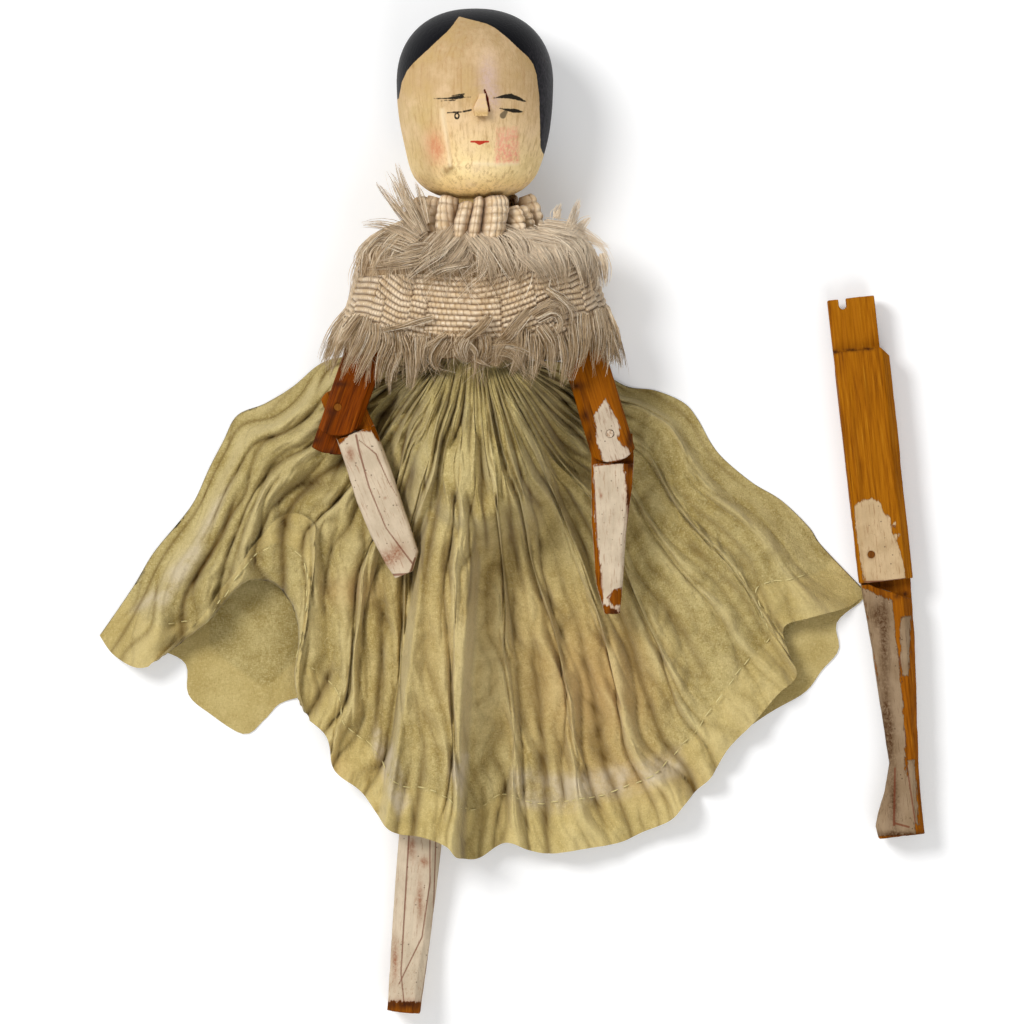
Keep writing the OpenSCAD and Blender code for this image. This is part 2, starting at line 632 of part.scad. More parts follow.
// An oval ring round the chest and the arms, squarer than an ellipse, t inside its outer face. It lies on
// the surface, and its two sides reach further up than its front and back by rise.
function oval(y, rise, in_share, top, t) = let (r = arm_edge(-1, y + rise), l = arm_edge(1, y + rise),
        a = ((l + r) / 2 + cape_ease + tape_t) * (1 - in_share) - t)
    [for (i = [0:oval_steps - 1]) let (c = cos(360 * i / oval_steps), s = sin(360 * i / oval_steps))
        [axis_x + (l - r) / 2 + a * sign(c) * pow(abs(c), 2 / oval_power), hip_y + y + rise * c * c,
            top / 2 + (top / 2 - t) * sign(s) * pow(abs(s), 2 / oval_power)]];

module trimming(rows, t) {
    sleeve([for (r = rows) oval(r[0], r[1], r[2], r[3], 0)],
        [for (r = rows) oval(r[0], r[1], r[2], r[3], t)]);
}

// The ribbed band round the chest and the arms.
module chest_band() color("#d7c3a5") trimming([for (y = [band_y, band_y - chest_band_l / 2,
    band_y - chest_band_l]) [y, 0, 0, cape_z(y)]], tape_t);

// The fringe of the chest band. Its sides are shorter, and let the skirt pass.
module chest_fringe() color("#a59482") trimming([for (share = [0, 0.5, 1])
    [fringe_y - share * chest_fringe_l, share * fringe_rise_share * chest_fringe_l, 0,
        cape_z(fringe_y - share * chest_fringe_l)]], fringe_t);

// The fringe of the neck tape, which stands up over the shoulders.
module neck_fringe() color("#a59482") trimming([for (share = [1, 0.5, 0])
    [band_y + soft_gap + share * neck_fringe_l, share * shoulder_rise_share * neck_fringe_l,
        collar_in_share * share * share, cape_top + (1 - share) * tape_t]], fringe_t);

// The neck tape, drawn up into flutes.
flute_steps = 6;

module flutes(t) polygon([for (i = [0:flute_steps * flute_count - 1])
    let (a = 360 * i / flute_steps / flute_count)
        (ruche_d / 2 - t + flute_h / 2 * cos(flute_count * a)) * [cos(a), sin(a)]]);

module neck_ruche() color("#ddccae") lying() translate([0, body_l + ruche_over - ruche_h, 0])
    rotate([-90, 0, 0]) linear_extrude(height = ruche_h) difference() {
        flutes(0);
        flutes(tape_t);
    }

head_torso();
nose_wedge();
right_shoulder_peg();
left_shoulder_peg();
right_upper_arm();
left_upper_arm();
right_elbow_peg();
left_elbow_peg();
right_forearm();
left_forearm();
right_hip_peg();
right_thigh();
right_knee_peg();
right_shin();
left_thigh();
left_knee_peg();
left_shin();
skirt();
waist_thread();
hem_thread();
chest_band();
chest_fringe();
neck_fringe();
neck_ruche();
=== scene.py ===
# A turned and pegged wooden doll in a silk dress, lying on its back beside its loose left leg.
import bpy, bmesh, math, random
import numpy as np
from mathutils import Matrix, Vector


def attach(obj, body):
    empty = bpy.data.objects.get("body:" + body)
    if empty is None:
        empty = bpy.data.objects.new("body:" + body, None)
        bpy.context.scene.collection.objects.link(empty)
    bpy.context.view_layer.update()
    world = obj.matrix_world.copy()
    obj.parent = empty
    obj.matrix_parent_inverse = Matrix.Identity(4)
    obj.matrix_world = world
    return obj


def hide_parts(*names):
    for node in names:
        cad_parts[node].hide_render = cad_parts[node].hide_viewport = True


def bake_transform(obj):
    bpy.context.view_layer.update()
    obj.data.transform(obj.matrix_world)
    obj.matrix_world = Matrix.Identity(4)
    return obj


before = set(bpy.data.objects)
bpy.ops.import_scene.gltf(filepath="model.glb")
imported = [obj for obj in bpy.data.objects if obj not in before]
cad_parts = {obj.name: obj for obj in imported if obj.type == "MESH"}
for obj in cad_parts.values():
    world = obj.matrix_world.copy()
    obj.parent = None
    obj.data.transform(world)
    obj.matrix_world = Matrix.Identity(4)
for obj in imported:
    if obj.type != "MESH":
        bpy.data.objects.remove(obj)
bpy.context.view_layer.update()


# The view: a camera high above the surface, looking straight down. One pixel of the 1024 pixel frame is a
# quarter of a millimetre at the doll's middle height.
mm = 0.001
pixel, frame_px, centre_px = 0.25 * mm, 1024, 512
eye_height, middle_height = 2.4, 10 * mm
cam = bpy.data.objects.new("camera", bpy.data.cameras.new("camera"))
cam.location = (0, 0, eye_height + middle_height)
cam.data.sensor_width = 36
cam.data.lens = cam.data.sensor_width * eye_height / (frame_px * pixel)
cam.data.clip_end = 10
bpy.context.collection.objects.link(cam)
bpy.context.scene.camera = cam
bpy.context.scene.view_settings.view_transform = "Standard"


def photo_place(p):
    """Pixel columns and rows at which the camera sees points, given as an array of x, y, z."""
    k = eye_height / (eye_height + middle_height - p[:, 2])
    return np.column_stack((centre_px + p[:, 0] * k / pixel, centre_px - p[:, 1] * k / pixel))


# The light: an even white room and two wide soft lamps, one on each side, so that the shadows stay soft. The
# stronger one stands beyond the doll's right shoulder.
world = bpy.data.worlds.new("room")
world.use_nodes = True
world.node_tree.nodes["Background"].inputs["Color"].default_value = (1, 1, 1, 1)
world.node_tree.nodes["Background"].inputs["Strength"].default_value = 0.4
bpy.context.scene.world = world
for lamp_name, at, size, power in (("key_lamp", (-0.8, 0.6, 1.2), 0.6, 16),
                                   ("fill_lamp", (0.4, -0.9, 1.2), 1.0, 7.0)):
    lamp = bpy.data.objects.new(lamp_name, bpy.data.lights.new(lamp_name, "AREA"))
    lamp.data.shape, lamp.data.size, lamp.data.energy = "DISK", size, power
    lamp.location = at
    lamp.rotation_euler = (-Vector(at)).to_track_quat("-Z", "Y").to_euler()
    bpy.context.collection.objects.link(lamp)


# The surface: a plain white board that the doll lies on. It keeps the doll's soft shadow, and it is only
# part of the scene, not of the object.
def srgb(r, g, b, a=1.0):
    linear = [c / 255 / 12.92 if c < 10.3 else ((c / 255 + 0.055) / 1.055) ** 2.4 for c in (r, g, b)]
    return tuple(linear) + (a,)


class Finish:
    """A material under construction, with short calls for the nodes that it needs."""

    def __init__(self, name, roughness=0.6, gloss=0.12):
        self.mat = bpy.data.materials.new(name)
        self.mat.use_nodes = True
        self.tree = self.mat.node_tree
        self.shader = self.tree.nodes["Principled BSDF"]
        self.shader.inputs["Roughness"].default_value = roughness
        self.shader.inputs["Specular IOR Level"].default_value = gloss

    def add(self, kind, ins=None, out=0, **props):
        n = self.tree.nodes.new(kind)
        for key, value in props.items():
            setattr(n, key, value)
        for key, value in (ins or {}).items():
            self.plug(n.inputs[key], value)
        return n.outputs[out]

    def plug(self, socket, value):
        if isinstance(value, bpy.types.NodeSocket):
            self.tree.links.new(value, socket)
        elif hasattr(socket.default_value, "__len__") and not hasattr(value, "__len__"):
            socket.default_value = [value] * len(socket.default_value)
        else:
            socket.default_value = value

    def place(self, scale=(1, 1, 1), turn=(0, 0, 0)):
        at = self.add("ShaderNodeTexCoord", out=3)
        return self.add("ShaderNodeMapping", {"Vector": at, "Scale": [s / mm for s in scale],
                                              "Rotation": [math.radians(a) for a in turn]})

    def value(self, name):
        return self.add("ShaderNodeAttribute", out=2, attribute_name=name)

    def sum(self, op, a, b=0.0, c=0.0, clamp=False):
        return self.add("ShaderNodeMath", {0: a, 1: b, 2: c}, operation=op, use_clamp=clamp)

    def step(self, x, low, high, a=0.0, b=1.0):
        return self.add("ShaderNodeMapRange", {"Value": x, "From Min": low, "From Max": high, "To Min": a,
                                               "To Max": b}, interpolation_type="SMOOTHSTEP")

    def noise(self, at, scale=1.0, detail=4.0, rough=0.6, warp=0.0):
        return self.add("ShaderNodeTexNoise", {"Vector": at, "Scale": scale, "Detail": detail,
                                               "Roughness": rough, "Distortion": warp})

    def cells(self, at, scale, feature="F1"):
        return self.add("ShaderNodeTexVoronoi", {"Vector": at, "Scale": scale}, feature=feature)

    def ramp(self, x, *stops):
        out = self.add("ShaderNodeValToRGB", {"Fac": x})
        band = out.node.color_ramp
        while len(band.elements) < len(stops):
            band.elements.new(1.0)
        for e, (place, colour) in zip(band.elements, stops):
            e.position, e.color = place, srgb(*colour)
        return out

    def mix(self, x, a, b, mode="MIX"):
        n = self.tree.nodes.new("ShaderNodeMix")
        n.data_type, n.blend_type = "RGBA", mode
        for key, value in ((0, x), (6, a), (7, b)):
            if isinstance(value, tuple) and len(value) == 3:
                value = srgb(*value)
            self.plug(n.inputs[key], value)
        return n.outputs[2]

    def bump(self, height, depth, strength=1.0, under=None):
        ins = {"Height": height, "Distance": depth * mm, "Strength": strength}
        if under is not None:
            ins["Normal"] = under
        return self.add("ShaderNodeBump", ins)

    def done(self, colour=None, rough=None, normal=None):
        for key, value in (("Base Color", colour), ("Roughness", rough), ("Normal", normal)):
            if value is not None:
                self.plug(self.shader.inputs[key], value)
        return self.mat


def piece(name, mesh, material, smooth=True):
    """A finished mesh as an object, from a mesh or a bmesh."""
    if isinstance(mesh, bmesh.types.BMesh):
        bm, mesh = mesh, bpy.data.meshes.new(name)
        bm.to_mesh(mesh)
        bm.free()
    mesh.name = name
    obj = bpy.data.objects.new(name, mesh)
    bpy.context.collection.objects.link(obj)
    mesh.materials.clear()
    mesh.materials.append(material)
    mesh.polygons.foreach_set("use_smooth", [smooth] * len(mesh.polygons))
    return obj


board = Finish("white_board", 0.9)
board.shader.inputs["Base Color"].default_value = (0.86, 0.86, 0.86, 1)
board.shader.inputs["Specular IOR Level"].default_value = 0.1
seen = board.add("ShaderNodeLightPath", out=0)
glow = board.add("ShaderNodeEmission", {"Color": (1, 1, 1, 1), "Strength": board.sum("MULTIPLY", seen, 0.2)})
both = board.add("ShaderNodeAddShader", {0: board.shader.outputs[0], 1: glow})
board.tree.links.new(both, board.tree.nodes["Material Output"].inputs["Surface"])
bm = bmesh.new()
bmesh.ops.create_grid(bm, x_segments=1, y_segments=1, size=3.0)
floor = piece("surface", bm, board.mat, False)


# The head: the upper end of the one turned piece of wood that is also the body. It was turned on a
# lathe, cut away a little below the eyes and the mouth, and painted: a cream face, black hair with a high
# pointed hairline, thin brows and eyes, a short red mouth and two rough pink cheeks, all varnished.
lie_tilt = 3.956
hips = Vector((-9.234, 8.183, 12.9)) * mm
lying = Matrix.Translation(hips) @ Matrix.Rotation(math.radians(lie_tilt), 4, "X")
crown_y, head_r, widest_y, crown_height, superness = 117.4, 19.5, 98.7, 18.7, 2.25
head_outline = [(7.5, 64.0), (7.5, 69.8), (8.4, 70.7), (9.9, 71.2), (12.6, 72.7), (15.2, 75.2), (16.7, 78.2),
                (17.8, 82.2), (18.7, 87.2), (19.3, 93.2)]
head_outline += [(head_r * (1 - math.sin(math.radians(a)) ** superness) ** (1 / superness),
                  widest_y + crown_height * math.sin(math.radians(a)))
                 for a in range(0, 90, 4)] + [(0.0, crown_y)]


def smooth_line(points, steps):
    """Points along a smooth curve through a few given ones, evenly spaced."""
    p = np.array([points[0]] + list(points) + [points[-1]], float)
    out = []
    for i in range(1, len(p) - 2):
        for f in np.linspace(0, 1, 24, endpoint=False):
            a, b, c, d = p[i - 1:i + 3]
            out.append(b + f * ((c - a) + f * ((2 * a - 5 * b + 4 * c - d) + f * (3 * (b - c) + d - a))) / 2)
    out = np.array(out + [p[-1]])
    run = np.concatenate(([0], np.cumsum(np.linalg.norm(np.diff(out, axis=0), axis=1))))
    at = np.interp(np.linspace(0, run[-1], steps), run, np.arange(len(run))) if np.isscalar(steps) else \
        np.interp(np.array(steps) * run[-1], run, np.arange(len(run)))
    return np.array([[np.interp(t, np.arange(len(out)), out[:, k]) for k in range(out.shape[1])] for t in at])


# The rows lie closer together where the brows, eyes and mouth are painted.
rows = np.concatenate((np.linspace(0, 0.3, 60, endpoint=False), np.linspace(0.3, 0.64, 130, endpoint=False),
                       np.linspace(0.64, 1, 60)))
bm = bmesh.new()
outline = smooth_line(head_outline, rows)
spine = [bm.verts.new((0, y * mm, r * mm)) for r, y in outline]
edges = [bm.edges.new(pair) for pair in zip(spine, spine[1:])]
bmesh.ops.rotate(bm, verts=bm.verts, cent=(0, 0, 0), matrix=Matrix.Rotation(math.radians(-40), 3, "Y"))
strip = edges
for arc, steps in ((80, 150), (50, 40), (180, 50), (50, 40)):
    made = bmesh.ops.spin(bm, geom=strip, cent=(0, 0, 0), axis=(0, 1, 0), angle=math.radians(arc),
                          steps=steps)
    strip = [e for e in made["geom_last"] if isinstance(e, bmesh.types.BMEdge)]
bmesh.ops.remove_doubles(bm, verts=bm.verts, dist=0.002 * mm)
bmesh.ops.recalc_face_normals(bm, faces=bm.faces)
bmesh.ops.transform(bm, verts=bm.verts, matrix=lying)
mesh = bpy.data.meshes.new("head")
bm.to_mesh(mesh)
bm.free()


def points_of(mesh):
    p = np.empty(len(mesh.vertices) * 3, np.float32)
    mesh.vertices.foreach_get("co", p)
    return p.reshape(-1, 3).astype(float)


def normals_of(mesh):
    n = np.empty(len(mesh.vertices) * 3, np.float32)
    mesh.vertices.foreach_get("normal", n)
    return n.reshape(-1, 3).astype(float)


def set_points(mesh, p):
    mesh.vertices.foreach_set("co", p.astype(np.float32).ravel())
    mesh.update()


def note(mesh, name, values):
    layer = mesh.attributes.new(name, "FLOAT", "POINT")
    layer.data.foreach_set("value", np.asarray(values, np.float32))


def to_line(q, line):
    """Distance in millimetres from pixel places to a painted line, each end given as x, y, half width."""
    best = np.full(len(q), 1e3)
    for (x0, y0, r0), (x1, y1, r1) in zip(line, line[1:]):
        d = np.array((x1 - x0, y1 - y0), float)
        t = np.clip(((q - (x0, y0)) @ d) / max(d @ d, 1e-9), 0, 1)
        gap = np.linalg.norm(q - ((x0, y0) + t[:, None] * d), axis=1) - (r0 + (r1 - r0) * t)
        best = np.minimum(best, gap)
    return best * pixel / mm


def to_patch(q, corners):
    """Distance in millimetres from pixel places to a painted patch's edge, negative inside it."""
    c = [(x, y, 0) for x, y in corners]
    edge = to_line(q, c + c[:1])
    inside = np.zeros(len(q), bool)
    for (x0, y0), (x1, y1) in zip(corners, corners[1:] + corners[:1]):
        crosses = (y0 > q[:, 1]) != (y1 > q[:, 1])
        with np.errstate(divide="ignore", invalid="ignore"):
            inside ^= crosses & (q[:, 0] < (x1 - x0) * (q[:, 1] - y0) / (y1 - y0 if y1 != y0 else 1e-9) + x0)
    return np.where(inside, -edge, edge)


def blob(q, x, y, a, b, turn=0.0):
    """A soft round spot, 1 in its middle, about a by b pixels across from its middle."""
    c, s = math.cos(math.radians(turn)), math.sin(math.radians(turn))
    u, w = q[:, 0] - x, q[:, 1] - y
    return np.exp(-(((u * c + w * s) / a) ** 2 + ((w * c - u * s) / b) ** 2))


p = points_of(mesh)
q = photo_place(p)
half_height, face_from = 0.0195, 0.02
front = np.clip((p[:, 2] - face_from) / 0.01, 0, 1)
carved = to_patch(q, [(441, 107), (447, 140), (451, 166), (480, 163), (520, 164), (541, 158), (545, 108),
                      (520, 92), (460, 92)])
dip = np.clip(-carved / 0.45, 0, 1) * np.clip((q[:, 1] - 95) / 22, 0, 1) * front
dip *= 0.35 + 0.65 * np.clip((540 - q[:, 0]) / 60, 0, 1)
socket = to_line(q, [(484.6, 90, 0.8), (487, 98, 1.5), (489.5, 111, 1.0)])
p -= normals_of(mesh) * (0.42 * dip + 0.5 * np.clip(-socket / 0.2, 0, 1) * front)[:, None] * mm
for side_x, side_y, depth in ((401, 150, 0.5), (552, 175, 0.5)):
    p -= normals_of(mesh) * (blob(q, side_x, side_y, 26, 30) * depth * mm)[:, None]
set_points(mesh, p)

skin_edge = [(459, 16.5), (466, 18.5), (478, 21.5), (487, 24), (495, 28), (508, 38.5), (519, 49), (528, 57),
             (533, 64), (536.5, 75), (539, 95), (540.5, 125), (541, 147), (543, 152), (546, 156.5),
             (640, 158), (640, 300), (300, 300), (300, 99), (398.5, 99), (402, 82), (407, 71), (414, 62.5),
             (425, 52.5), (436, 42), (447, 32), (453, 25)]
turn = np.degrees(np.arctan2(p[:, 2] - half_height, p[:, 0] - hips.x)) % 360
nape = np.interp(turn, (180, 215, 270, 330, 360), (99, 150, 168, 160, 157))
hair = np.where(p[:, 2] > half_height, to_patch(q, skin_edge), (nape - q[:, 1]) * pixel / mm)
note(mesh, "hair", hair)
brows = [[(434, 98.6, 0.3), (447, 98.4, 0.7), (456, 97.6, 1.7), (462, 96.6, 1.9)],
         [(441, 100.8, 0.3), (455, 100.2, 0.5)], [(452, 95.6, 0.3), (464, 94.0, 0.7)],
         [(462, 97.4, 0.4), (471, 97.0, 0.3)], [(494, 98, 0.3), (500, 97.4, 0.8)],
         [(497, 97.6, 0.5), (504, 96.4, 1.9), (511, 96.2, 2.7), (518, 98.4, 1.9), (526, 101.6, 0.5)]]
eyes = [[(447, 112.9, 0.4), (457, 112.2, 0.9), (461, 112, 0.6)], [(463.5, 111.7, 0.9), (471, 110.2, 0.9)],
        [(500, 108.4, 0.5), (507, 109.8, 1.1), (514, 110.8, 2.1), (519, 111.3, 1.6), (523, 111.9, 0.5)],
        [(474.6, 111.4, 1.0), (477.5, 109.6, 2.1), (480, 107.6, 1.2)]]
ring = np.abs(np.hypot((q[:, 0] - 456.6) / 0.8, q[:, 1] - 116.2) - 2.6) - 0.95
ink = np.minimum.reduce([to_line(q, line) for line in brows + eyes] + [ring * pixel / mm])
note(mesh, "ink", np.where(p[:, 2] > face_from, ink, 5))
note(mesh, "wash", np.where(p[:, 2] > face_from, to_line(q, [(506, 112, 2.0), (503.4, 115.6, 3.2)]), 5))
mouth = np.minimum(to_line(q, [(471, 142, 0.95), (488.5, 142, 0.95)]),
                   to_patch(q, [(473.5, 142.4), (486.5, 142.4), (481.5, 144.8), (479.6, 145.4),
                                (478.2, 144.8)]))
note(mesh, "mouth", np.where(p[:, 2] > face_from, mouth, 5))
left_cheek = blob(q, 436, 148, 9.5, 17, -12)
block = np.clip(-to_patch(q, [(497, 128), (519, 126), (520, 163), (495, 163)]) / 0.9 + 0.45, 0, 1)
note(mesh, "blush", np.clip(left_cheek * 0.9, 0, 1) * front)
note(mesh, "pink", block * (0.55 + 0.45 * np.clip((q[:, 1] - 128) / 20, 0, 1)) * front)
stain = 0.9 * blob(q, 447, 171, 5, 4) + 0.7 * blob(q, 452, 168, 3, 2) + 0.5 * blob(q, 437, 191, 6, 3)
spot = np.abs(np.hypot(q[:, 0] - 468, q[:, 1] - 166.5) - 2.2) - 0.55
stain += np.clip(-spot / 0.8 + 0.3, 0, 0.8) + 0.6 * blob(q, 413, 66, 1.5, 3) + 0.5 * blob(q, 482, 118, 6, 5)
stain += 0.5 * blob(q, 542, 100, 4, 9) + 0.35 * blob(q, 460, 104, 2, 7)
note(mesh, "stain", np.clip(stain, 0, 1) * front)
# The gap at the nose's right side, where painted shade is drawn along the slot.
note(mesh, "slit", np.where(p[:, 2] > face_from, socket, 5))
# How far down the face a point lies; below, the cream brightens toward the chin as painted light.
note(mesh, "low", np.clip((q[:, 1] - 20) / 175, 0, 1))
note(mesh, "lilac", np.clip(blob(q, 488, 78, 9, 22) + 0.8 * blob(q, 494, 100, 7, 12), 0, 1) * front)
# A painted highlight: a pale line along the carved edges beside the left cheek and under the cheeks.
rim = np.minimum(to_line(q, [(442, 110, 0.8), (446, 138, 0.6), (450, 166, 0.6)]),
                 to_line(q, [(474, 163.5, 0.4), (496, 164.5, 0.9), (518, 163.5, 0.5)]))
note(mesh, "rim", np.clip(0.45 - rim / 1.4, 0, 0.6) * front)
note(mesh, "left_cheek_side",
     np.clip((444 - q[:, 0]) / 14, 0, 1) * np.clip((q[:, 1] - 88) / 20, 0, 1) * front)
# The head's right edge, where the black is rubbed and where a painted sheen lies along the edge.
note(mesh, "worn", np.clip((q[:, 0] - 520) / 22, 0, 1) * np.clip((q[:, 1] - 30) / 30, 0, 1))

painted = Finish("painted_head", 0.4, 0.3)
painted.shader.inputs["IOR"].default_value = 1.25
lengthwise = painted.place((0.9, 0.045, 0.9))
grain = painted.noise(lengthwise, 1.5, 6, 0.65)
blotch = painted.noise(painted.place(), 0.11, 5, 0.6)
fine = painted.noise(painted.place(), 1.4, 6, 0.7)
# The cream runs from a darker forehead to a bright chin; the bright chin is painted light where it turns from
# the lamps.
face = painted.ramp(painted.value("low"), (0.1, (190, 160, 116)), (0.42, (202, 170, 124)),
                    (0.62, (232, 200, 152)), (0.86, (255, 228, 168)), (1.0, (246, 206, 136)))
face = painted.mix(painted.value("left_cheek_side"), face, (208, 180, 130))
face = painted.mix(painted.step(grain, 0.46, 0.68, 0.0, 0.6), face, (178, 138, 88))
face = painted.mix(painted.step(blotch, 0.45, 0.7, 0.0, 0.5), face, (236, 206, 166))
face = painted.mix(painted.step(blotch, 0.52, 0.3, 0.0, 0.4), face, (196, 164, 96))
face = painted.mix(painted.step(fine, 0.6, 0.75, 0.0, 0.35), face, (150, 118, 70))
face = painted.mix(painted.sum("MULTIPLY", painted.value("lilac"), painted.step(fine, 0.3, 0.6, 0.3, 0.75)),
                   face, (208, 180, 172))
cracks = painted.cells(painted.place((1, 0.7, 1)), 0.8, "DISTANCE_TO_EDGE")
face = painted.mix(painted.step(cracks, 0.06, 0.0, 0.0, 0.1), face, (140, 106, 60))
# Painted highlight along the carved edges.
face = painted.mix(painted.value("rim"), face, (250, 230, 190))
frayed = painted.noise(painted.place((1, 0.6, 1)), 1.5, 4, 0.7)
face = painted.mix(painted.sum("MULTIPLY", painted.value("blush"), painted.step(frayed, 0.2, 0.7, 0.35, 1.0)),
                   face, (206, 122, 82))
face = painted.mix(painted.sum("MULTIPLY", painted.value("pink"),
                               painted.step(frayed, 0.62, 0.35, 0.15, 0.85)),
                   face, (236, 146, 126))
face = painted.mix(painted.sum("MULTIPLY", painted.value("stain"), 0.75), face, (122, 84, 30))
# Painted shade in the narrow gap beside the nose wedge.
face = painted.mix(painted.step(painted.value("slit"), 0.12, -0.1), face, (92, 22, 8))
wobble = painted.sum("MULTIPLY", painted.sum("SUBTRACT", fine, 0.5), 0.5)


def edge(finish, name, soft=0.05, amount=1.0, stray=None):
    d = finish.value(name) if stray is None else finish.sum("ADD", finish.value(name), stray)
    return finish.step(d, soft, -soft, 0.0, amount)


face = painted.mix(edge(painted, "wash", 0.14, 0.75), face, (52, 48, 36))
face = painted.mix(edge(painted, "ink", 0.1, 0.97, wobble), face, (14, 16, 14))
face = painted.mix(edge(painted, "mouth", 0.05, 0.95, painted.sum("MULTIPLY", wobble, 0.5)),
                   face, (186, 34, 16))
# Greyish patches on the black toward the right edge: partly rubbed paint, partly a painted sheen.
rub = painted.sum("MULTIPLY", painted.value("worn"), painted.step(frayed, 0.4, 0.65))
black = painted.mix(painted.sum("MULTIPLY", rub, 0.5), (2, 2, 8), (64, 58, 66))
black = painted.mix(painted.step(fine, 0.7, 0.78, 0.0, 0.4), black, (70, 62, 58))
covered = painted.step(painted.sum("ADD", painted.value("hair"), painted.sum("MULTIPLY", wobble, 0.6)),
                       -0.04, 0.08)
face = painted.mix(covered, face, black)
raised = painted.sum("ADD", painted.sum("MULTIPLY", covered, 0.6), painted.step(cracks, 0.0, 0.08, -0.3, 0.0))
raised = painted.sum("ADD", painted.sum("MULTIPLY", grain, 0.5), raised)
head_finish = painted.done(face, painted.step(covered, 0, 1, 0.5, 0.42), painted.bump(raised, 0.09, 0.8))
head = piece("painted_head", mesh, head_finish)
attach(head, "torso")


# The body: the rest of the same turned piece, left bare. It has a slot for each leg at its lower end, and the
# clothes hide all of it but the neck.
def whittled(node, voxel, keep=None):
    """A merged copy of a CAD piece, remeshed finely enough to be worked on as wood."""
    bm = bmesh.new()
    bm.from_mesh(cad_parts[node].data)
    bmesh.ops.transform(bm, verts=bm.verts, matrix=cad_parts[node].matrix_world)
    bmesh.ops.remove_doubles(bm, verts=bm.verts, dist=0.002 * mm)
    if keep:
        cut = bmesh.ops.bisect_plane(bm, geom=bm.verts[:] + bm.edges[:] + bm.faces[:], plane_co=keep[0],
                                     plane_no=keep[1], clear_outer=True)
        bmesh.ops.holes_fill(bm, edges=[e for e in cut["geom_cut"] if isinstance(e, bmesh.types.BMEdge)])
    bmesh.ops.recalc_face_normals(bm, faces=bm.faces)
    mesh = bpy.data.meshes.new(node)
    bm.to_mesh(mesh)
    bm.free()
    rough = bpy.data.objects.new("rough", mesh)
    bpy.context.collection.objects.link(rough)
    mod = rough.modifiers.new("remesh", "REMESH")
    mod.mode, mod.voxel_size = "VOXEL", voxel * mm
    ready = bpy.data.meshes.new_from_object(rough.evaluated_get(bpy.context.evaluated_depsgraph_get()))
    bpy.data.objects.remove(rough)
    return ready


def wood(finish, at, deep=0.0):
    """The colour and height of old brown wood, with its grain along the second axis of at. A deep one is
    redder."""
    tones = [tuple(a + (b - a) * deep for a, b in zip(*pair)) for pair in
             (((118, 64, 0), (52, 20, 0)), ((152, 88, 2), (104, 44, 0)), ((170, 104, 8), (130, 60, 0)),
              ((190, 130, 32), (170, 98, 16)))]
    grain = finish.noise(finish.add("ShaderNodeMapping", {"Vector": at, "Scale": (2.2, 0.09, 2.2)}),
                         1.0, 6, 0.62)
    wide = finish.noise(finish.add("ShaderNodeMapping", {"Vector": at, "Scale": (0.35, 0.03, 0.35)}),
                        1.0, 3, 0.5)
    colour = finish.ramp(grain, *zip((0.32, 0.46, 0.6, 0.76), tones))
    colour = finish.mix(finish.step(wide, 0.45, 0.7, 0.0, 0.5), colour, tones[2])
    colour = finish.mix(finish.step(wide, 0.5, 0.3, 0.0, 0.6), colour, tones[0])
    return colour, grain


body_wood = Finish("turned_wood", 0.6)
tone, grain = wood(body_wood, body_wood.place())
body_wood.done(tone, normal=body_wood.bump(grain, 0.15))
neck_at = lying @ Vector((0, 66 * mm, 0))
neck_up = (lying.to_3x3() @ Vector((0, 1, 0)))
body = piece("turned_body", whittled("head_torso", 0.5, (neck_at, neck_up)), body_wood.mat)
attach(body, "torso")
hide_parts("head_torso")


# The nose: a small wedge of wood, set in a slot between the brows and worn round at its tip.
mesh = whittled("nose_wedge", 0.16)
p = points_of(mesh)
q = photo_place(p)
rise = np.clip((p[:, 2] - 0.0318) / 0.0016, 0, 1)
p[:, 0] += (0.2 * mm) * rise
middle = np.interp(q[:, 1], [88, 104, 117], [484.2, 482.8, 482])
widen = np.interp(q[:, 1], [88, 98, 108, 115], [0.5, 0.8, 1.5, 1.35]) - 1
p[:, 0] += (q[:, 0] - middle) * widen * rise * pixel
set_points(mesh, p)
note(mesh, "tip", np.clip((q[:, 1] - 107) / 6, 0, 1))
nose_finish = Finish("nose_wood", 0.5)
rub = nose_finish.noise(nose_finish.place(), 1.5, 4, 0.6)
tone = nose_finish.mix(nose_finish.value("tip"), (222, 190, 152), (204, 168, 112))
nose_finish.done(nose_finish.mix(nose_finish.step(rub, 0.45, 0.7), tone, (232, 198, 142)))
nose = piece("nose", mesh, nose_finish.mat)
mod = nose.modifiers.new("round", "SMOOTH")
mod.iterations = 6
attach(nose, "torso")
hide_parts("nose_wedge")


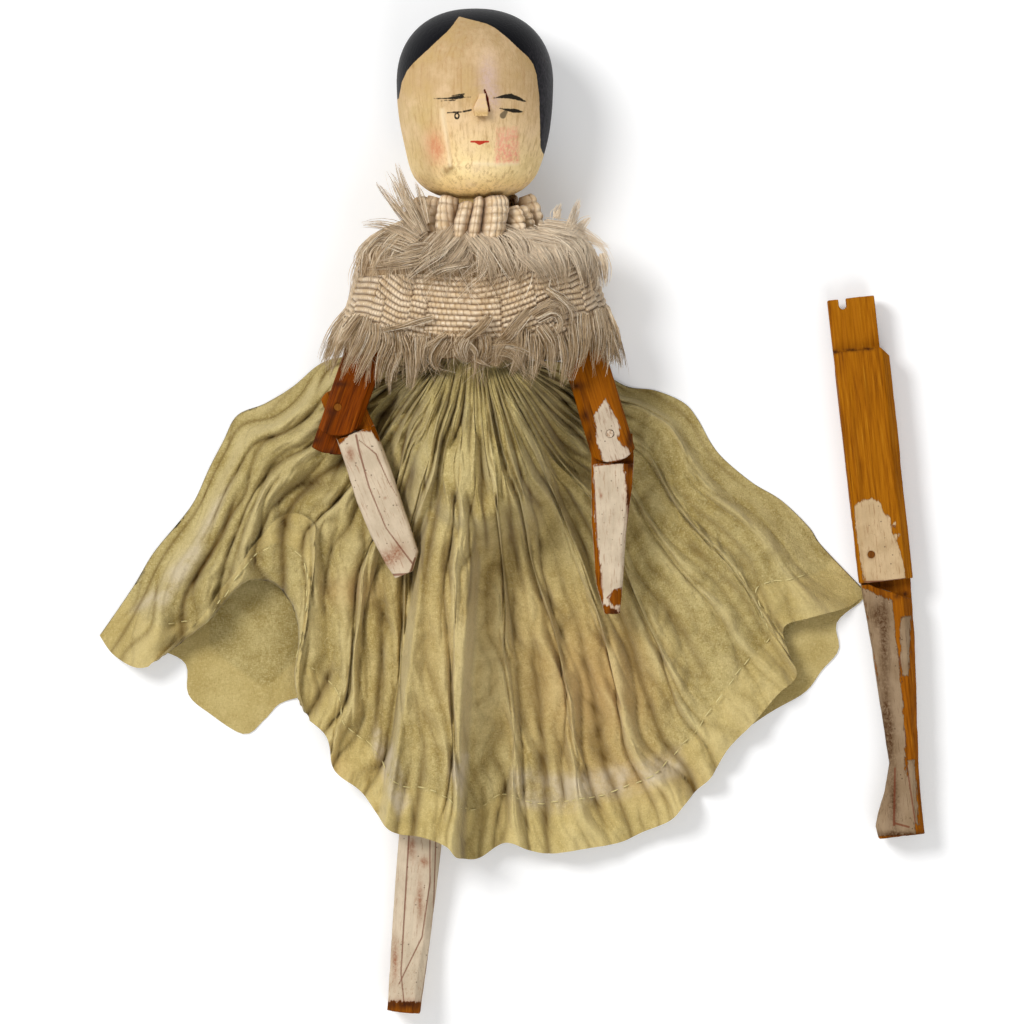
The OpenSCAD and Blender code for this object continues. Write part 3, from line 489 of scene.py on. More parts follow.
# The limbs: eight sticks whittled with a knife, the upper ones left bare and the lower ones painted white.
# The paint is worn and chipped, most on the loose leg, and dirt lies along the knife's ridges.
def limb_finish(name, paint_colour, dirt_colour, deep):
    f = Finish(name, 0.6, 0.06)
    at = f.add("ShaderNodeVectorMath", {0: f.add("ShaderNodeAttribute", out=1, attribute_name="local"),
                                        1: (1, 1, 1)}, operation="MULTIPLY")
    bare, grain = wood(f, at, deep)
    fine = f.noise(at, 1.3, 5, 0.7)
    flake = f.noise(f.add("ShaderNodeMapping", {"Vector": at, "Scale": (1.6, 0.35, 1.6)}), 1.0, 5, 0.7)
    bare = f.mix(f.sum("MULTIPLY", f.value("dirt"), f.step(flake, 0.3, 0.6, 0.5, 1.0)), bare, (58, 26, 10))
    wide = f.noise(at, 0.16, 4, 0.6)
    paint = f.mix(f.step(wide, 0.35, 0.65), paint_colour, tuple(c - 14 for c in paint_colour))
    paint = f.mix(f.step(fine, 0.52, 0.8, 0.0, 0.5), paint, tuple(c + 14 for c in paint_colour))
    streak = f.noise(f.add("ShaderNodeMapping", {"Vector": at, "Scale": (2.4, 0.2, 2.4)}), 1.0, 5, 0.7)
    paint = f.mix(f.step(streak, 0.54, 0.66, 0.0, 0.5), paint, dirt_colour)
    specks = f.cells(at, 0.55)
    paint = f.mix(f.step(specks, 0.14, 0.06, 0.0, 0.7), paint, (66, 44, 30))
    paint = f.mix(f.sum("MULTIPLY", f.value("dirt"), f.step(fine, 0.3, 0.65, 0.3, 1.0)), paint, dirt_colour)
    paint = f.mix(f.step(f.value("ridge"), 0.16, 0.0, 0.0, 0.75), paint, (112, 54, 32))
    worn = f.sum("ADD", f.value("paint"), f.sum("MULTIPLY", f.sum("SUBTRACT", flake, 0.5), 2.6))
    cover = f.step(worn, 0.05, -0.05)
    rim = f.sum("MULTIPLY", f.step(worn, -0.35, -0.02), cover)
    paint = f.mix(f.sum("MULTIPLY", rim, 0.5), paint, dirt_colour)
    height = f.sum("ADD", f.sum("MULTIPLY", cover, 0.8), f.sum("ADD", f.sum("MULTIPLY", grain, 0.6),
                   f.sum("MULTIPLY", fine, 0.4)))
    f.done(f.mix(cover, bare, paint), normal=f.bump(height, 0.16, 0.9))
    return f.mat


bare_finish = limb_finish("bare_wood", (204, 186, 160), (120, 62, 30), 1.0)
light_finish = limb_finish("light_bare_wood", (208, 190, 166), (120, 62, 30), 0.4)
thigh_finish = limb_finish("bare_thigh_wood", (204, 176, 136), (130, 76, 24), 0.0)
white_finish = limb_finish("white_painted_wood", (212, 194, 168), (150, 100, 72), 0.5)
dirty_finish = limb_finish("dirty_painted_wood", (158, 134, 106), (78, 50, 26), 0.3)


def drift(u, v, seed):
    """Smooth random waves from -1 to 1 over a plane, about one unit long."""
    table = np.random.default_rng(seed).uniform(-1, 1, (64, 64))
    iu, iv = np.floor(u).astype(int), np.floor(v).astype(int)
    fu, fv = u - iu, v - iv
    fu, fv = fu * fu * (3 - 2 * fu), fv * fv * (3 - 2 * fv)
    a = table[iu % 64, iv % 64] * (1 - fu) + table[(iu + 1) % 64, iv % 64] * fu
    b = table[iu % 64, (iv + 1) % 64] * (1 - fu) + table[(iu + 1) % 64, (iv + 1) % 64] * fu
    return a * (1 - fv) + b * fv


def limb(name, node, body, finish, base, seed, painted=(), ridges=(), dirt=(), below=None, gouge=0.22):
    """One whittled limb. base is its own frame, painted and ridges are pixel patches and lines, and below is
    how far down the limb the paint starts on the sides that the camera doesn't see."""
    mesh = whittled(node, 0.3)
    p = points_of(mesh)
    own = (np.array(base.inverted()) @ np.column_stack((p, np.ones(len(p)))).T).T[:, :3] / mm
    n = normals_of(mesh)
    side = np.arctan2(own[:, 0], own[:, 2]) * 1.4
    chips = drift(side * 2.2 + 9, own[:, 1] / 7, seed) * 0.6 \
        + drift(side * 5 + 3, own[:, 1] / 2.4, seed + 1) * 0.25
    p -= n * (gouge * np.clip(chips + 0.25, 0, 1) * mm)[:, None]
    set_points(mesh, p)
    q = photo_place(p)
    seen = n[:, 2] > 0.1
    paint = np.full(len(p), 3.0) if below is None else own[:, 1] - below
    if painted:
        paint = np.where(seen, np.minimum.reduce([to_patch(q, patch) for patch in painted]), paint)
    note(mesh, "paint", paint)
    note(mesh, "ridge", np.where(seen, np.minimum.reduce([to_line(q, line) for line in ridges]), 3.0)
         if ridges else np.full(len(p), 3.0))
    note(mesh, "dirt", np.clip(sum(blob(q, *d) for d in dirt) if dirt else np.zeros(len(p)), 0, 1))
    layer = mesh.attributes.new("local", "FLOAT_VECTOR", "POINT")
    layer.data.foreach_set("vector", (own + seed * 7.0).astype(np.float32).ravel())
    obj = piece(name, mesh, finish)
    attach(obj, body)
    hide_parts(node)
    return obj


def turned(axis, degrees):
    return Matrix.Rotation(math.radians(degrees), 4, axis)


def shifted(x, y, z):
    return Matrix.Translation(Vector((x, y, z)) * mm)


# The doll's right side is -1 and its left side 1. Lengths are in millimetres and angles in degrees.
arm_splay, arm_w, arm_l = {-1: 19, 1: 17}, {-1: 10, 1: 10.9}, {-1: 41.5, 1: 47.4}
arm_bend, elbow_off = {-1: 40.8, 1: 16.4}, {-1: 2.0, 1: 0.545}
shoulder_x, shoulder_y, arm_gap, arm_drop, thigh_l = 14, 55.07, 0.1, 3, 62.7
arm_at = {s: lying @ shifted(s * shoulder_x, shoulder_y, 0) @ turned("Z", s * arm_splay[s])
          @ shifted(s * (arm_gap + arm_w[s] / 2), 0, 0) @ turned("X", -arm_drop) for s in (-1, 1)}
forearm_at = {s: arm_at[s] @ shifted(s * elbow_off[s], -arm_l[s], 0) @ turned("Z", -s * arm_bend[s])
              for s in (-1, 1)}
right_leg_at = lying @ shifted(-5, 0, 3) @ turned("Z", -5.5) @ turned("X", 0.4)
loose_leg_at = Matrix.Translation((82.806 * mm, 51.683 * mm, 5.5 * mm)) @ turned("Z", 6.4) @ turned("Y", -90)
knee = shifted(0, -thigh_l, 0)

limb("right_upper_arm", "right_upper_arm", "right_upper_arm", bare_finish, arm_at[-1], 1,
     ridges=[[(347, 372, 0.5), (353, 398, 1.0), (352, 436, 1.2)],
             [(356, 430, 1), (352, 436, 1.5), (338, 446, 0.8)]],
     dirt=[(332, 412, 5, 5), (316, 440, 5, 4), (330, 455, 9, 7), (322, 400, 3, 4), (340, 384, 9, 3)],
     gouge=0.34)
limb("right_forearm", "right_forearm", "right_forearm", white_finish, forearm_at[-1], 2,
     painted=[[(336, 447), (352, 431), (370, 431), (388, 450), (412, 497), (434, 553), (428, 592), (387, 582),
               (354, 540), (340, 495)]],
     ridges=[[(356, 435, 0.7), (359, 450, 0.7), (369, 487, 0.5), (386, 528, 0.4), (412, 563, 0.6)],
             [(359, 440, 0.2), (376, 454, 0.5), (388, 481, 0.3), (397, 496, 0.1)],
             [(341, 452, 0.2), (367, 536, 0.3), (390, 575, 0.9), (410, 574, 0.9), (415, 558, 0.6)],
             [(339, 444, 0.8), (352, 431, 0.4)]],
     dirt=[(350, 455, 4, 8), (398, 552, 7, 9), (386, 560, 9, 9), (385, 498, 1.5, 1.5)], below=-4)
limb("left_upper_arm", "left_upper_arm", "left_upper_arm", light_finish, arm_at[1], 3,
     painted=[[(605, 398), (594, 416), (597, 443), (604, 463), (632, 459), (629, 451), (618, 439), (621, 427),
               (608, 403)]],
     ridges=[[(593, 461, 0.8), (606, 464, 1.1), (632, 458, 0.9)]],
     dirt=[(585, 416, 5, 8), (575, 386, 10, 4), (640, 455, 6, 8), (590, 440, 4, 12), (630, 440, 4, 10)],
     gouge=0.26)
limb("left_forearm", "left_forearm", "left_forearm", white_finish, forearm_at[1], 4,
     painted=[[(593, 465), (624, 463), (628, 515), (625.5, 535), (625, 560), (624, 588), (615, 590),
               (608, 598), (612, 606), (622, 604), (620, 612), (603, 604), (595, 516)]],
     ridges=[[(607, 598, 0.4), (615, 590, 0.5), (624, 587, 0.4)], [(594, 466, 0.4), (624, 462, 0.7)],
             [(594, 480, 0.4), (597, 540, 0.4), (602, 596, 0.5)]],
     dirt=[(615, 612, 8, 5), (631, 465, 6, 5), (601, 496, 1.5, 3), (628, 500, 2, 16)], below=-6)
limb("right_thigh", "right_thigh", "right_thigh", thigh_finish, right_leg_at, 5)
limb("right_shin", "right_shin", "right_shin", white_finish, right_leg_at @ knee, 6,
     painted=[[(380, 700), (450, 700), (450, 1003), (384, 1001)]],
     ridges=[[(409, 835, 0.5), (403, 937, 0.5), (401, 974, 0.4), (404, 1003, 0.4)],
             [(430, 835, 0.4), (430, 882, 0.4), (422, 937, 0.4), (399, 984, 0.3)],
             [(436, 835, 0.3), (433, 925, 0.4), (421, 1004, 0.5)]],
     dirt=[(412, 848, 4, 12), (424, 862, 5, 5), (405, 1004, 22, 5), (395, 960, 3, 22), (420, 900, 3, 20)],
     below=-5)
limb("loose_left_thigh", "left_thigh", "left_thigh", thigh_finish, loose_leg_at, 7,
     painted=[[(853, 508), (860, 501), (872, 498), (880, 502), (884, 512), (890, 518), (893, 532), (898, 545),
               (903, 560), (906, 582), (866, 586), (860, 560)],
              [(890, 523), (896, 522), (895, 529)], [(892, 533), (899, 534), (896, 541)]],
     ridges=[[(833, 350, 1.3), (848, 352, 1.6), (858, 347, 1.0), (872, 347, 1.4), (881, 349, 0.9)],
             [(864, 582, 0.8), (884, 582, 1.3), (913, 578, 0.7)], [(893, 532, 1.2), (894, 526, 1.2)]],
     dirt=[(834, 352, 6, 2), (852, 350, 7, 1.6), (872, 556, 3, 3), (885, 584, 20, 3), (868, 349, 6, 1.6)])
limb("loose_left_shin", "left_shin", "left_shin", dirty_finish, loose_leg_at @ knee, 8,
     painted=[[(862, 588), (892, 600), (903, 698), (906, 766), (916, 834), (875, 836), (868, 800), (884, 760),
               (878, 680)],
              [(900, 616), (911, 616), (909, 676), (901, 676)],
              [(907, 760), (915, 760), (919, 825), (909, 822)]],
     ridges=[[(893, 599, 0.8), (904, 698, 0.5), (907, 766, 0.5), (917, 834, 0.4)],
             [(895, 768, 0.5), (894, 825, 0.9)], [(894, 823, 0.7), (909, 827, 0.7)]],
     dirt=[(884, 640, 5, 40), (894, 800, 5, 30), (886, 720, 5, 40), (900, 834, 26, 3), (878, 615, 8, 12),
           (905, 594, 3, 3), (897, 596, 3, 3), (889, 740, 6, 26)], below=-5, gouge=0.3)


# The pegs: split sticks about 1.8 mm thick, driven through each joint and cut flush. The left elbow's peg
# was painted over together with its arm, and the left hip's peg is lost.
peg_finish = Finish("peg_wood", 0.6)
tone, grain = wood(peg_finish, peg_finish.place())
peg_finish.done(peg_finish.mix(0.45, tone, (70, 36, 14)), normal=peg_finish.bump(grain, 0.1))
covered_peg = Finish("painted_peg", 0.6)
rub = covered_peg.noise(covered_peg.place(), 1.2, 4, 0.6)
covered_peg.done(covered_peg.mix(covered_peg.step(rub, 0.4, 0.7), (214, 196, 172), (150, 110, 76)))
for joint in ("right_shoulder", "left_shoulder", "right_elbow", "left_elbow", "right_hip", "right_knee",
              "left_knee"):
    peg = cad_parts[joint + "_peg"].data.materials
    peg.clear()
    peg.append(covered_peg.mat if joint == "left_elbow" else peg_finish.mat)


# The skirt: one tube of thin silk gauze, gathered on a thread at the waist and spread out by hand. Its
# hem is turned up 12 mm and held by a running stitch. The folds are laid out in code, not simulated.
def from_photo(points):
    """Places in millimetres on the surface, from pixel columns and rows."""
    return np.array([((x - centre_px) * 0.25, (centre_px - y) * 0.25) for x, y in points])


def smooth01(t):
    """0 up to t = 0, 1 from t = 1, and a soft step between them."""
    t = np.clip(t, 0, 1)
    return t * t * (3 - 2 * t)


axis_mm, hip_y_mm, hip_z_mm, gather_y_mm, waist_half, slope = -9.234, 8.183, 12.9, 30.0, 9.9, 0.0692
right_side = smooth_line(from_photo([
    (436, 361), (395, 358), (350, 356), (320, 363), (292, 386), (264, 403), (236, 415), (222, 441),
    (208, 468), (194, 499), (180, 519), (152, 553), (131, 588), (98, 636)]), 200)
left_side = smooth_line(from_photo([
    (515, 361), (560, 362), (600, 372), (628, 386), (656, 390), (684, 402), (698, 418), (712, 443),
    (726, 460), (754, 483), (782, 500), (810, 527), (824, 547), (868, 593)]), 200)
front_hem = smooth_line(from_photo([
    (98, 636), (112, 655), (137, 668), (163, 663), (190, 664), (216, 656), (246, 664), (285, 703), (325, 735),
    (334, 770), (362, 793), (390, 829), (422, 836), (446, 845), (458, 857), (478, 859), (505, 843),
    (530, 851), (551, 854), (586, 849), (620, 843), (642, 833), (670, 821), (684, 806), (698, 790),
    (712, 777), (728, 750), (755, 722), (779, 694), (797, 676), (788, 650), (785, 627), (810, 618),
    (850, 607), (868, 593)]), 400)
back_hem = smooth_line(from_photo([
    (98, 636), (125, 646), (155, 650), (184, 664), (187, 695), (208, 714), (243, 735), (264, 720), (284, 702),
    (330, 700), (400, 745), (470, 790), (560, 805), (650, 790), (720, 748), (770, 714), (806, 693),
    (823, 671), (840, 650), (838, 623), (862, 602), (868, 593)]), 400)


def along(line, t):
    """Places on a line of points, at shares of its length from 0 to 1."""
    f = np.clip(t, 0, 1) * (len(line) - 1)
    return np.column_stack([np.interp(f, np.arange(len(line)), line[:, k]) for k in range(line.shape[1])])


def spread(s, v, hem):
    """Plan of the skirt: s runs from the doll's right side to its left one, v from the gathers to the hem."""
    swell, side_share = 14, 0.42
    waist = np.column_stack((axis_mm - waist_half * np.cos(np.pi * s),
                             np.full(len(s), hip_y_mm + gather_y_mm)))
    fan = waist + (along(hem, s) - waist) * v[:, None]
    fan[:, 0] += np.sin(np.pi * np.clip(v, 0, 1)) * (s - 0.5) * swell
    for side_line, end in ((right_side, 0.0), (left_side, 1.0)):
        weight = np.clip(1 - np.abs(s - end) / side_share, 0, 1) ** 2.4
        w0 = np.array([axis_mm - waist_half * math.cos(math.pi * end), hip_y_mm + gather_y_mm])
        h0 = along(hem, np.array([end]))[0]
        straight = w0 + (h0 - w0) * v[:, None]
        straight[:, 0] += np.sin(np.pi * np.clip(v, 0, 1)) * (end - 0.5) * swell
        fan += (along(side_line, v) - straight) * weight[:, None]
    return fan


def falling(top, out, fall):
    """Height of cloth that lies over an edge at height top, and is down on the surface at fall outside it."""
    clear, low = 1.0, 1.5
    return top + clear + (low - top - clear) * smooth01(out / fall)


def under_front(x, y):
    """Height of what the skirt's front lies over: the body and the right leg, x and y from the hips."""
    half = np.interp(y, [0, 24.7, 30], [12, 12, 9])
    body = falling(hip_z_mm + np.maximum(y, 0) * slope + half,
                   (np.hypot(x / half, np.minimum(y, 0) / 11) - 0.75) * half, 14.5)
    leg_out = np.abs(x + 5 - y * 0.0963) - (1 + 0.3 * (y / thigh_l) ** 2) * 5.5
    leg = falling(hip_z_mm + 6.7 + y * 0.0759, leg_out, 3.0)
    return np.maximum(body, leg)


def pleat(t, run, seed, share=0.5):
    """Folds with round tops and sharp valleys, one for each unit of t. A valley comes and goes along run."""
    deep = smooth01(share + 1.0 * drift(np.round(t) * 3.7, run, seed))
    return 1 - deep * (1 - np.abs(np.sin(np.pi * t)) ** 0.75)


columns, cloth_rows, back_part = 770, 120, 0.2
bm = bmesh.new()
bmesh.ops.create_grid(bm, x_segments=columns, y_segments=cloth_rows, size=1.0)
mesh = bpy.data.meshes.new("skirt")
bm.to_mesh(mesh)
bm.free()
# s runs across the skirt, from the doll's right side to its left, and v runs down it, from the gathers to the
# hem. A fifth of the columns is the plain back, and the rest is the front, which shows the folds.
g = points_of(mesh)
u, v = (g[:, 0] + 1) / 2, (1 - g[:, 1]) / 2
v = 0.55 * v + 0.45 * v ** 1.5
is_front = u >= back_part
s = np.where(is_front, (1 - u) / (1 - back_part), u / back_part)
# Near the doll's right the hem has flipped up: the cloth is 27 mm longer there, and turned back over itself.
flap = np.exp(-((s - 0.152) / 0.062) ** 4) * 27 * is_front
length = np.linalg.norm(along(front_hem, s) - from_photo([(475, 361)])[0], axis=1)
reach = np.where(is_front, flap, 0.0)
turn_at = length / (length + reach)
over = np.clip(v - turn_at, 0, None) * (reach > 0.3)
v_seen = np.where(over > 0, turn_at - over * 0.92, v)
middle = np.sin(np.pi * np.clip(s, 0, 1)) ** 0.5
crease_v = v_seen + 0.03 * drift(11 * s, 0 * s, 20)
gathered, hanging = 1 - smooth01((crease_v - 0.23) / 0.13), smooth01((crease_v - 0.17) / 0.15)
# Four sets of folds, each finer than the one before, whose valleys wander from side to side down the skirt.
t_main = 13 * s + 0.5 * drift(4 * s + 3, 2.2 * v_seen, 11) + 0.25 * drift(12 * s, 5 * v_seen, 12)
t_more = 2 * t_main + 0.35 + 0.3 * drift(14 * s, 6 * v_seen, 26)
t_mid = 2.6 * t_main + 0.6 * drift(15 * s - 5 * v_seen, 9 * v_seen, 13) - 2.4 * v_seen
t_fine = 5.4 * t_main + 0.9 * drift(30 * s, 16 * v_seen, 14) - 4.5 * v_seen
main, more = pleat(t_main, 4 * v_seen, 27, 0.95), pleat(t_more, 5 * v_seen, 28, 0.85)
mid, small = pleat(t_mid, 9 * v_seen, 29, 0.85), pleat(t_fine, 14 * v_seen, 30, 0.65)
loose = smooth01(v_seen / 0.2)
flat_right = 1 - 0.55 * smooth01((s - 0.66) / 0.16) * smooth01((v_seen - 0.2) / 0.2)
tall_left = 1 + 0.6 * np.exp(-((s - 0.24) / 0.12) ** 2)
main_height, soft_from, soft_over, fold_floor = 6.4, 8, 3.5, 0.2
fold = main_height * np.tanh(4.6 * main * (0.3 * loose + 0.7 * hanging) * tall_left / main_height) \
    + 3.0 * more * hanging + 3.0 * mid * smooth01(v_seen / 0.05) * (0.5 + 0.5 * gathered) \
    + 1.1 * small * smooth01(v_seen / 0.04) * (0.6 + 0.4 * gathered)
rounded = soft_from + soft_over * np.tanh((fold - soft_from) / soft_over)
fold = np.where(fold > soft_from, rounded, fold) * flat_right
fold = np.maximum(fold - 2.6 * hanging * flat_right ** 2, fold_floor)
fold -= 0.8 * np.exp(-((crease_v - 0.27) / 0.012) ** 2) * np.clip(0.3 + 1.2 * drift(10 * s, 0 * s, 25), 0, 1)
crumple = 0.3 * drift(52 * s, 30 * v_seen, 17) + 0.24 * drift(95 * s + v_seen * 20, 55 * v_seen, 18) \
    + 0.9 * np.abs(drift(20 * s - 9 * v_seen, 15 * v_seen, 19)) \
    + 1.0 * np.abs(drift(44 * s + 9 * v_seen, 30 * v_seen, 34)) \
    + 0.4 * np.abs(drift(110 * s, 40 * v_seen, 36))
s_shift = 0.0112 * np.sin(2 * np.pi * t_main) * hanging \
    + 0.0048 * np.sin(2 * np.pi * t_mid) * (0.3 + 0.7 * gathered)
s_shift *= loose * middle * (1 - v_seen ** 6)
front_xy = spread(np.clip(s + s_shift, 0, 1), v_seen, front_hem)
back_xy = spread(s, v, back_hem)
xy = np.where(is_front[:, None], front_xy, back_xy)
# Heights: the back lies flat, the front lies over the body and the right leg, and both meet at the sides.
waist_z = hip_z_mm + gather_y_mm * slope
at_side = np.abs(2 * s - 1)
back_z = (waist_z - waist_half * np.sin(np.pi * s)) * (1 - smooth01(v / (0.13 + 0.17 * at_side))) + 0.25 \
    + 0.5 * np.abs(drift(24 * s, 9 * v, 21)) * smooth01(v / 0.3)
lies_on = under_front(xy[:, 0] - axis_mm, xy[:, 1] - hip_y_mm)
front_z = lies_on + (fold + crumple * smooth01(v_seen / 0.1)) * (0.35 + 0.65 * smooth01((1 - at_side) / 0.12))
gather_z = waist_z + 9.4 * np.sin(np.pi * s) + 0.9 * small + 0.6 * mid
front_z = gather_z * (1 - smooth01(v_seen / 0.12)) + front_z * smooth01(v_seen / 0.12)
front_z += 1.5 * np.abs(drift(34 * s, 9 * v_seen, 35)) * smooth01((v_seen - 0.84) / 0.12)
front_z += 1.6 * smooth01(over / 0.02) \
    + 0.9 * np.sin(np.clip(over / 0.15, 0, 1) * np.pi) * (1 + drift(9 * s, v, 22))
closing = smooth01((at_side - 0.9) / 0.1)
front_z = np.where(at_side > 0.9, front_z * (1 - closing) + back_z * closing,
                   np.maximum(front_z, back_z + 0.9))
z = np.where(is_front, front_z, back_z)
set_points(mesh, np.column_stack((xy, z)) * mm)
hem_wide = 12.2
hem_share = hem_wide / (length + reach)
in_hem = smooth01((v - (1 - hem_share)) / 0.008)
note(mesh, "hem", in_hem)
# Painted shade in the fold valleys, a little toward the sides and over the back, with the denser look of
# doubled gauze.
valley = 0.75 * np.exp(-(main / 0.22) ** 2) * hanging + 0.6 * np.exp(-(more / 0.24) ** 2) * hanging \
    + 0.8 * np.exp(-(mid / 0.34) ** 2) * (0.5 + 0.5 * gathered) \
    + 0.5 * np.exp(-(small / 0.36) ** 2) * (0.5 + 0.5 * gathered)
valley = valley * flat_right + 0.12 * smooth01((at_side - 0.35) / 0.4)
note(mesh, "valley", np.where(is_front, np.clip(valley, 0, 1), 0.15))
# A painted highlight along the tops of the folds.
crest = smooth01((0.4 * main + 0.35 * more + 0.25 * mid - 0.72) / 0.25) * smooth01((v_seen - 0.05) / 0.2)
note(mesh, "crest", np.where(is_front, crest, 0))
px = photo_place(np.column_stack((xy, z)) * mm)
# Where the white surface shows through the thin cloth: outlines, with how soft, how far out and how strong.
bare_patches = [
    ([(375, 715), (395, 745), (412, 800), (398, 822), (385, 790), (370, 742)], 1.5, 0.2, 1, 1),
    ([(510, 765), (560, 772), (640, 760), (682, 742), (690, 775), (640, 795), (560, 815), (500, 808)],
     3, 0.1, 0.85, 1),
    ([(190, 545), (215, 500), (236, 470), (200, 560), (165, 610), (130, 612)], 2, 0.3, 1, 0.8),
    ([(450, 750), (470, 752), (462, 800), (447, 780)], 1.5, 0.2, 1, 1)]
bare_white = np.zeros(len(px))
for corners, soft, start, most, share in bare_patches:
    bare_white = np.maximum(bare_white, share * np.clip(-to_patch(px, corners) / soft + start, 0, most))
note(mesh, "pale", bare_white * is_front)
tan_spots = [(0.3, (480, 640, 110, 130)), (0.7, (600, 690, 60, 70)), (0.6, (350, 590, 26, 16)),
             (0.5, (640, 780, 60, 26)), (0.5, (330, 770, 20, 14))]
note(mesh, "tan", np.clip(sum(share * blob(px, *spot) for share, spot in tan_spots), 0, 1))
bm = bmesh.new()
bm.from_mesh(mesh)
bmesh.ops.remove_doubles(bm, verts=[w for w in bm.verts if w.is_boundary], dist=0.01 * mm)
bmesh.ops.recalc_face_normals(bm, faces=bm.faces)
bm.to_mesh(mesh)
bm.free()

gauze = Finish("silk_gauze", 0.75)
at = gauze.place()
cloud = gauze.noise(at, 0.12, 5, 0.6)
fine = gauze.noise(at, 1.1, 6, 0.75)
weave = gauze.sum("ADD", gauze.noise(gauze.place((4.6, 1.3, 4.6), (0, 0, 12)), 1.0, 2, 0.5),
                  gauze.noise(gauze.place((1.3, 4.6, 4.6), (0, 0, 9)), 1.0, 2, 0.5))
cloth = gauze.mix(gauze.step(cloud, 0.35, 0.65), (170, 150, 88), (198, 180, 120))
cloth = gauze.mix(gauze.step(weave, 1.0, 1.3, 0.0, 0.5), cloth, (234, 216, 160))
cloth = gauze.mix(gauze.step(weave, 0.96, 0.7, 0.0, 0.45), cloth, (130, 104, 44))
cloth = gauze.mix(gauze.value("tan"), cloth, (196, 158, 100))
# Painted highlight on the tops of the folds.
cloth = gauze.mix(gauze.sum("MULTIPLY", gauze.value("crest"), 0.4), cloth, (230, 212, 156))
cloth = gauze.mix(gauze.step(fine, 0.5, 0.72, 0.0, 0.35), cloth, (232, 212, 152))
cloth = gauze.mix(gauze.step(fine, 0.5, 0.3, 0.0, 0.35), cloth, (150, 128, 66))
cloth = gauze.mix(gauze.sum("MULTIPLY", gauze.value("hem"), 0.3), cloth, (232, 206, 134))
pale = gauze.sum("MULTIPLY", gauze.value("pale"), gauze.step(cloud, 0.35, 0.62, 0.1, 0.7))
cloth = gauze.mix(pale, cloth, (222, 208, 186))
# Painted shade in the valleys of the folds, together with the denser look of the gauze where it lies doubled.
valley_shade = gauze.sum("MULTIPLY", gauze.value("valley"), gauze.step(fine, 0.15, 0.6, 0.9, 1.0))
cloth = gauze.mix(valley_shade, cloth, (96, 70, 22))
shade = gauze.bump(gauze.sum("ADD", gauze.sum("MULTIPLY", fine, 0.7), gauze.sum("MULTIPLY", weave, 0.5)),
                   0.35, 0.9)
gauze.shader.inputs["Sheen Weight"].default_value = 0.15
gauze.done(cloth, normal=shade)
skirt = piece("gauze_skirt", mesh, gauze.mat)
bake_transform(skirt)
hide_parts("skirt")


# The threads: the one that draws the gathers together, and the running stitches along the hem.
thread = Finish("sewing_thread", 0.6)
twist = thread.noise(thread.place(), 2.5, 3, 0.6)
thread.done(thread.mix(twist, (206, 190, 128), (232, 220, 164)))


def strands(name, lines, material, sides=0):
    """Many thin threads as one mesh. Each line is a list of points in metres, each with its own radius."""
    curve = bpy.data.curves.new(name, "CURVE")
    curve.dimensions, curve.bevel_depth, curve.bevel_resolution = "3D", 1.0, sides
    for line in lines:
        spline = curve.splines.new("POLY")
        spline.points.add(len(line) - 1)
        places = np.column_stack((line[:, :3], np.ones(len(line)))).astype(np.float32)
        spline.points.foreach_set("co", places.ravel())
        spline.points.foreach_set("radius", line[:, 3].astype(np.float32))
    rough = bpy.data.objects.new("rough", curve)
    bpy.context.collection.objects.link(rough)
    mesh = bpy.data.meshes.new_from_object(rough.evaluated_get(bpy.context.evaluated_depsgraph_get()))
    bpy.data.objects.remove(rough)
    return piece(name, mesh, material)


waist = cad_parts["waist_thread"]
waist.data.materials.clear()
waist.data.materials.append(thread.mat)

stitch_lines, rng = [], random.Random(5)
hem_at = 1 - hem_share
on_stitch = np.where(is_front & (np.abs(v - hem_at) < 0.004) & (s > 0.03) & (s < 0.98))[0]
on_stitch = on_stitch[np.argsort(s[on_stitch])]
seam = np.column_stack((xy, z))[on_stitch]
seam = seam[np.concatenate(([True], np.diff(s[on_stitch]) > 1e-4))]
run = np.concatenate(([0], np.cumsum(np.linalg.norm(np.diff(seam, axis=0), axis=1))))
at_mm = 2.0
while at_mm < run[-1] - 4:
    long = rng.uniform(1.3, 2.6)
    pts = np.array([[np.interp(at_mm + long * f, run, seam[:, k]) for k in range(3)]
                    for f in np.linspace(0, 1, 5)])
    pts[:, 2] += np.array([0.0, 0.22, 0.3, 0.22, 0.0]) + 0.1
    pts[:, :2] += np.array([rng.uniform(-0.25, 0.25), rng.uniform(-0.25, 0.25)])
    if np.linalg.norm(np.diff(pts, axis=0), axis=1).max() < 1.2:
        stitch_lines.append(np.column_stack((pts * mm, np.array([0.7, 1, 1, 1, 0.7]) * 0.14 * mm)))
    at_mm += long + rng.uniform(0.9, 2.6) + (5 if rng.random() < 0.12 else 0)
stitches = strands("hem_stitches", stitch_lines, thread.mat, 1)
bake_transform(stitches)
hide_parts("hem_thread")


# The bodice: silk tape wound round the chest and both arms, ribbed like a braid, with a long loose fringe on
# one edge. One course hangs at the chest, and one at the neck, its tape drawn up into a ruche.
def arm_edge(side, y):
    """How far out the outer edge of an arm lies from the doll's middle, at a height above the hips."""
    return shoulder_x + (arm_gap + arm_w[side]) / math.cos(math.radians(arm_splay[side])) \
        + (shoulder_y - y) * math.tan(math.radians(arm_splay[side]))


# The bodice's oval section in millimetres: how deep it is at its lowest row and at its top one, the power of
# its curve, its mean half width, and the height of the neck's middle. Rows count from the doll's hips.
low_row, row_run, chest_deep, neck_deep, oval_power, oval_half, neck_axis, neck_taper = \
    23.6, 31.5, 27.8, 33.7, 2.6, 31.0, 17.2, 0.42


def near_neck(row):
    """0 up to the shoulders and 1 at the neck, where the fringe closes in."""
    return np.clip((row - 52) / 10, 0, 1) ** 2


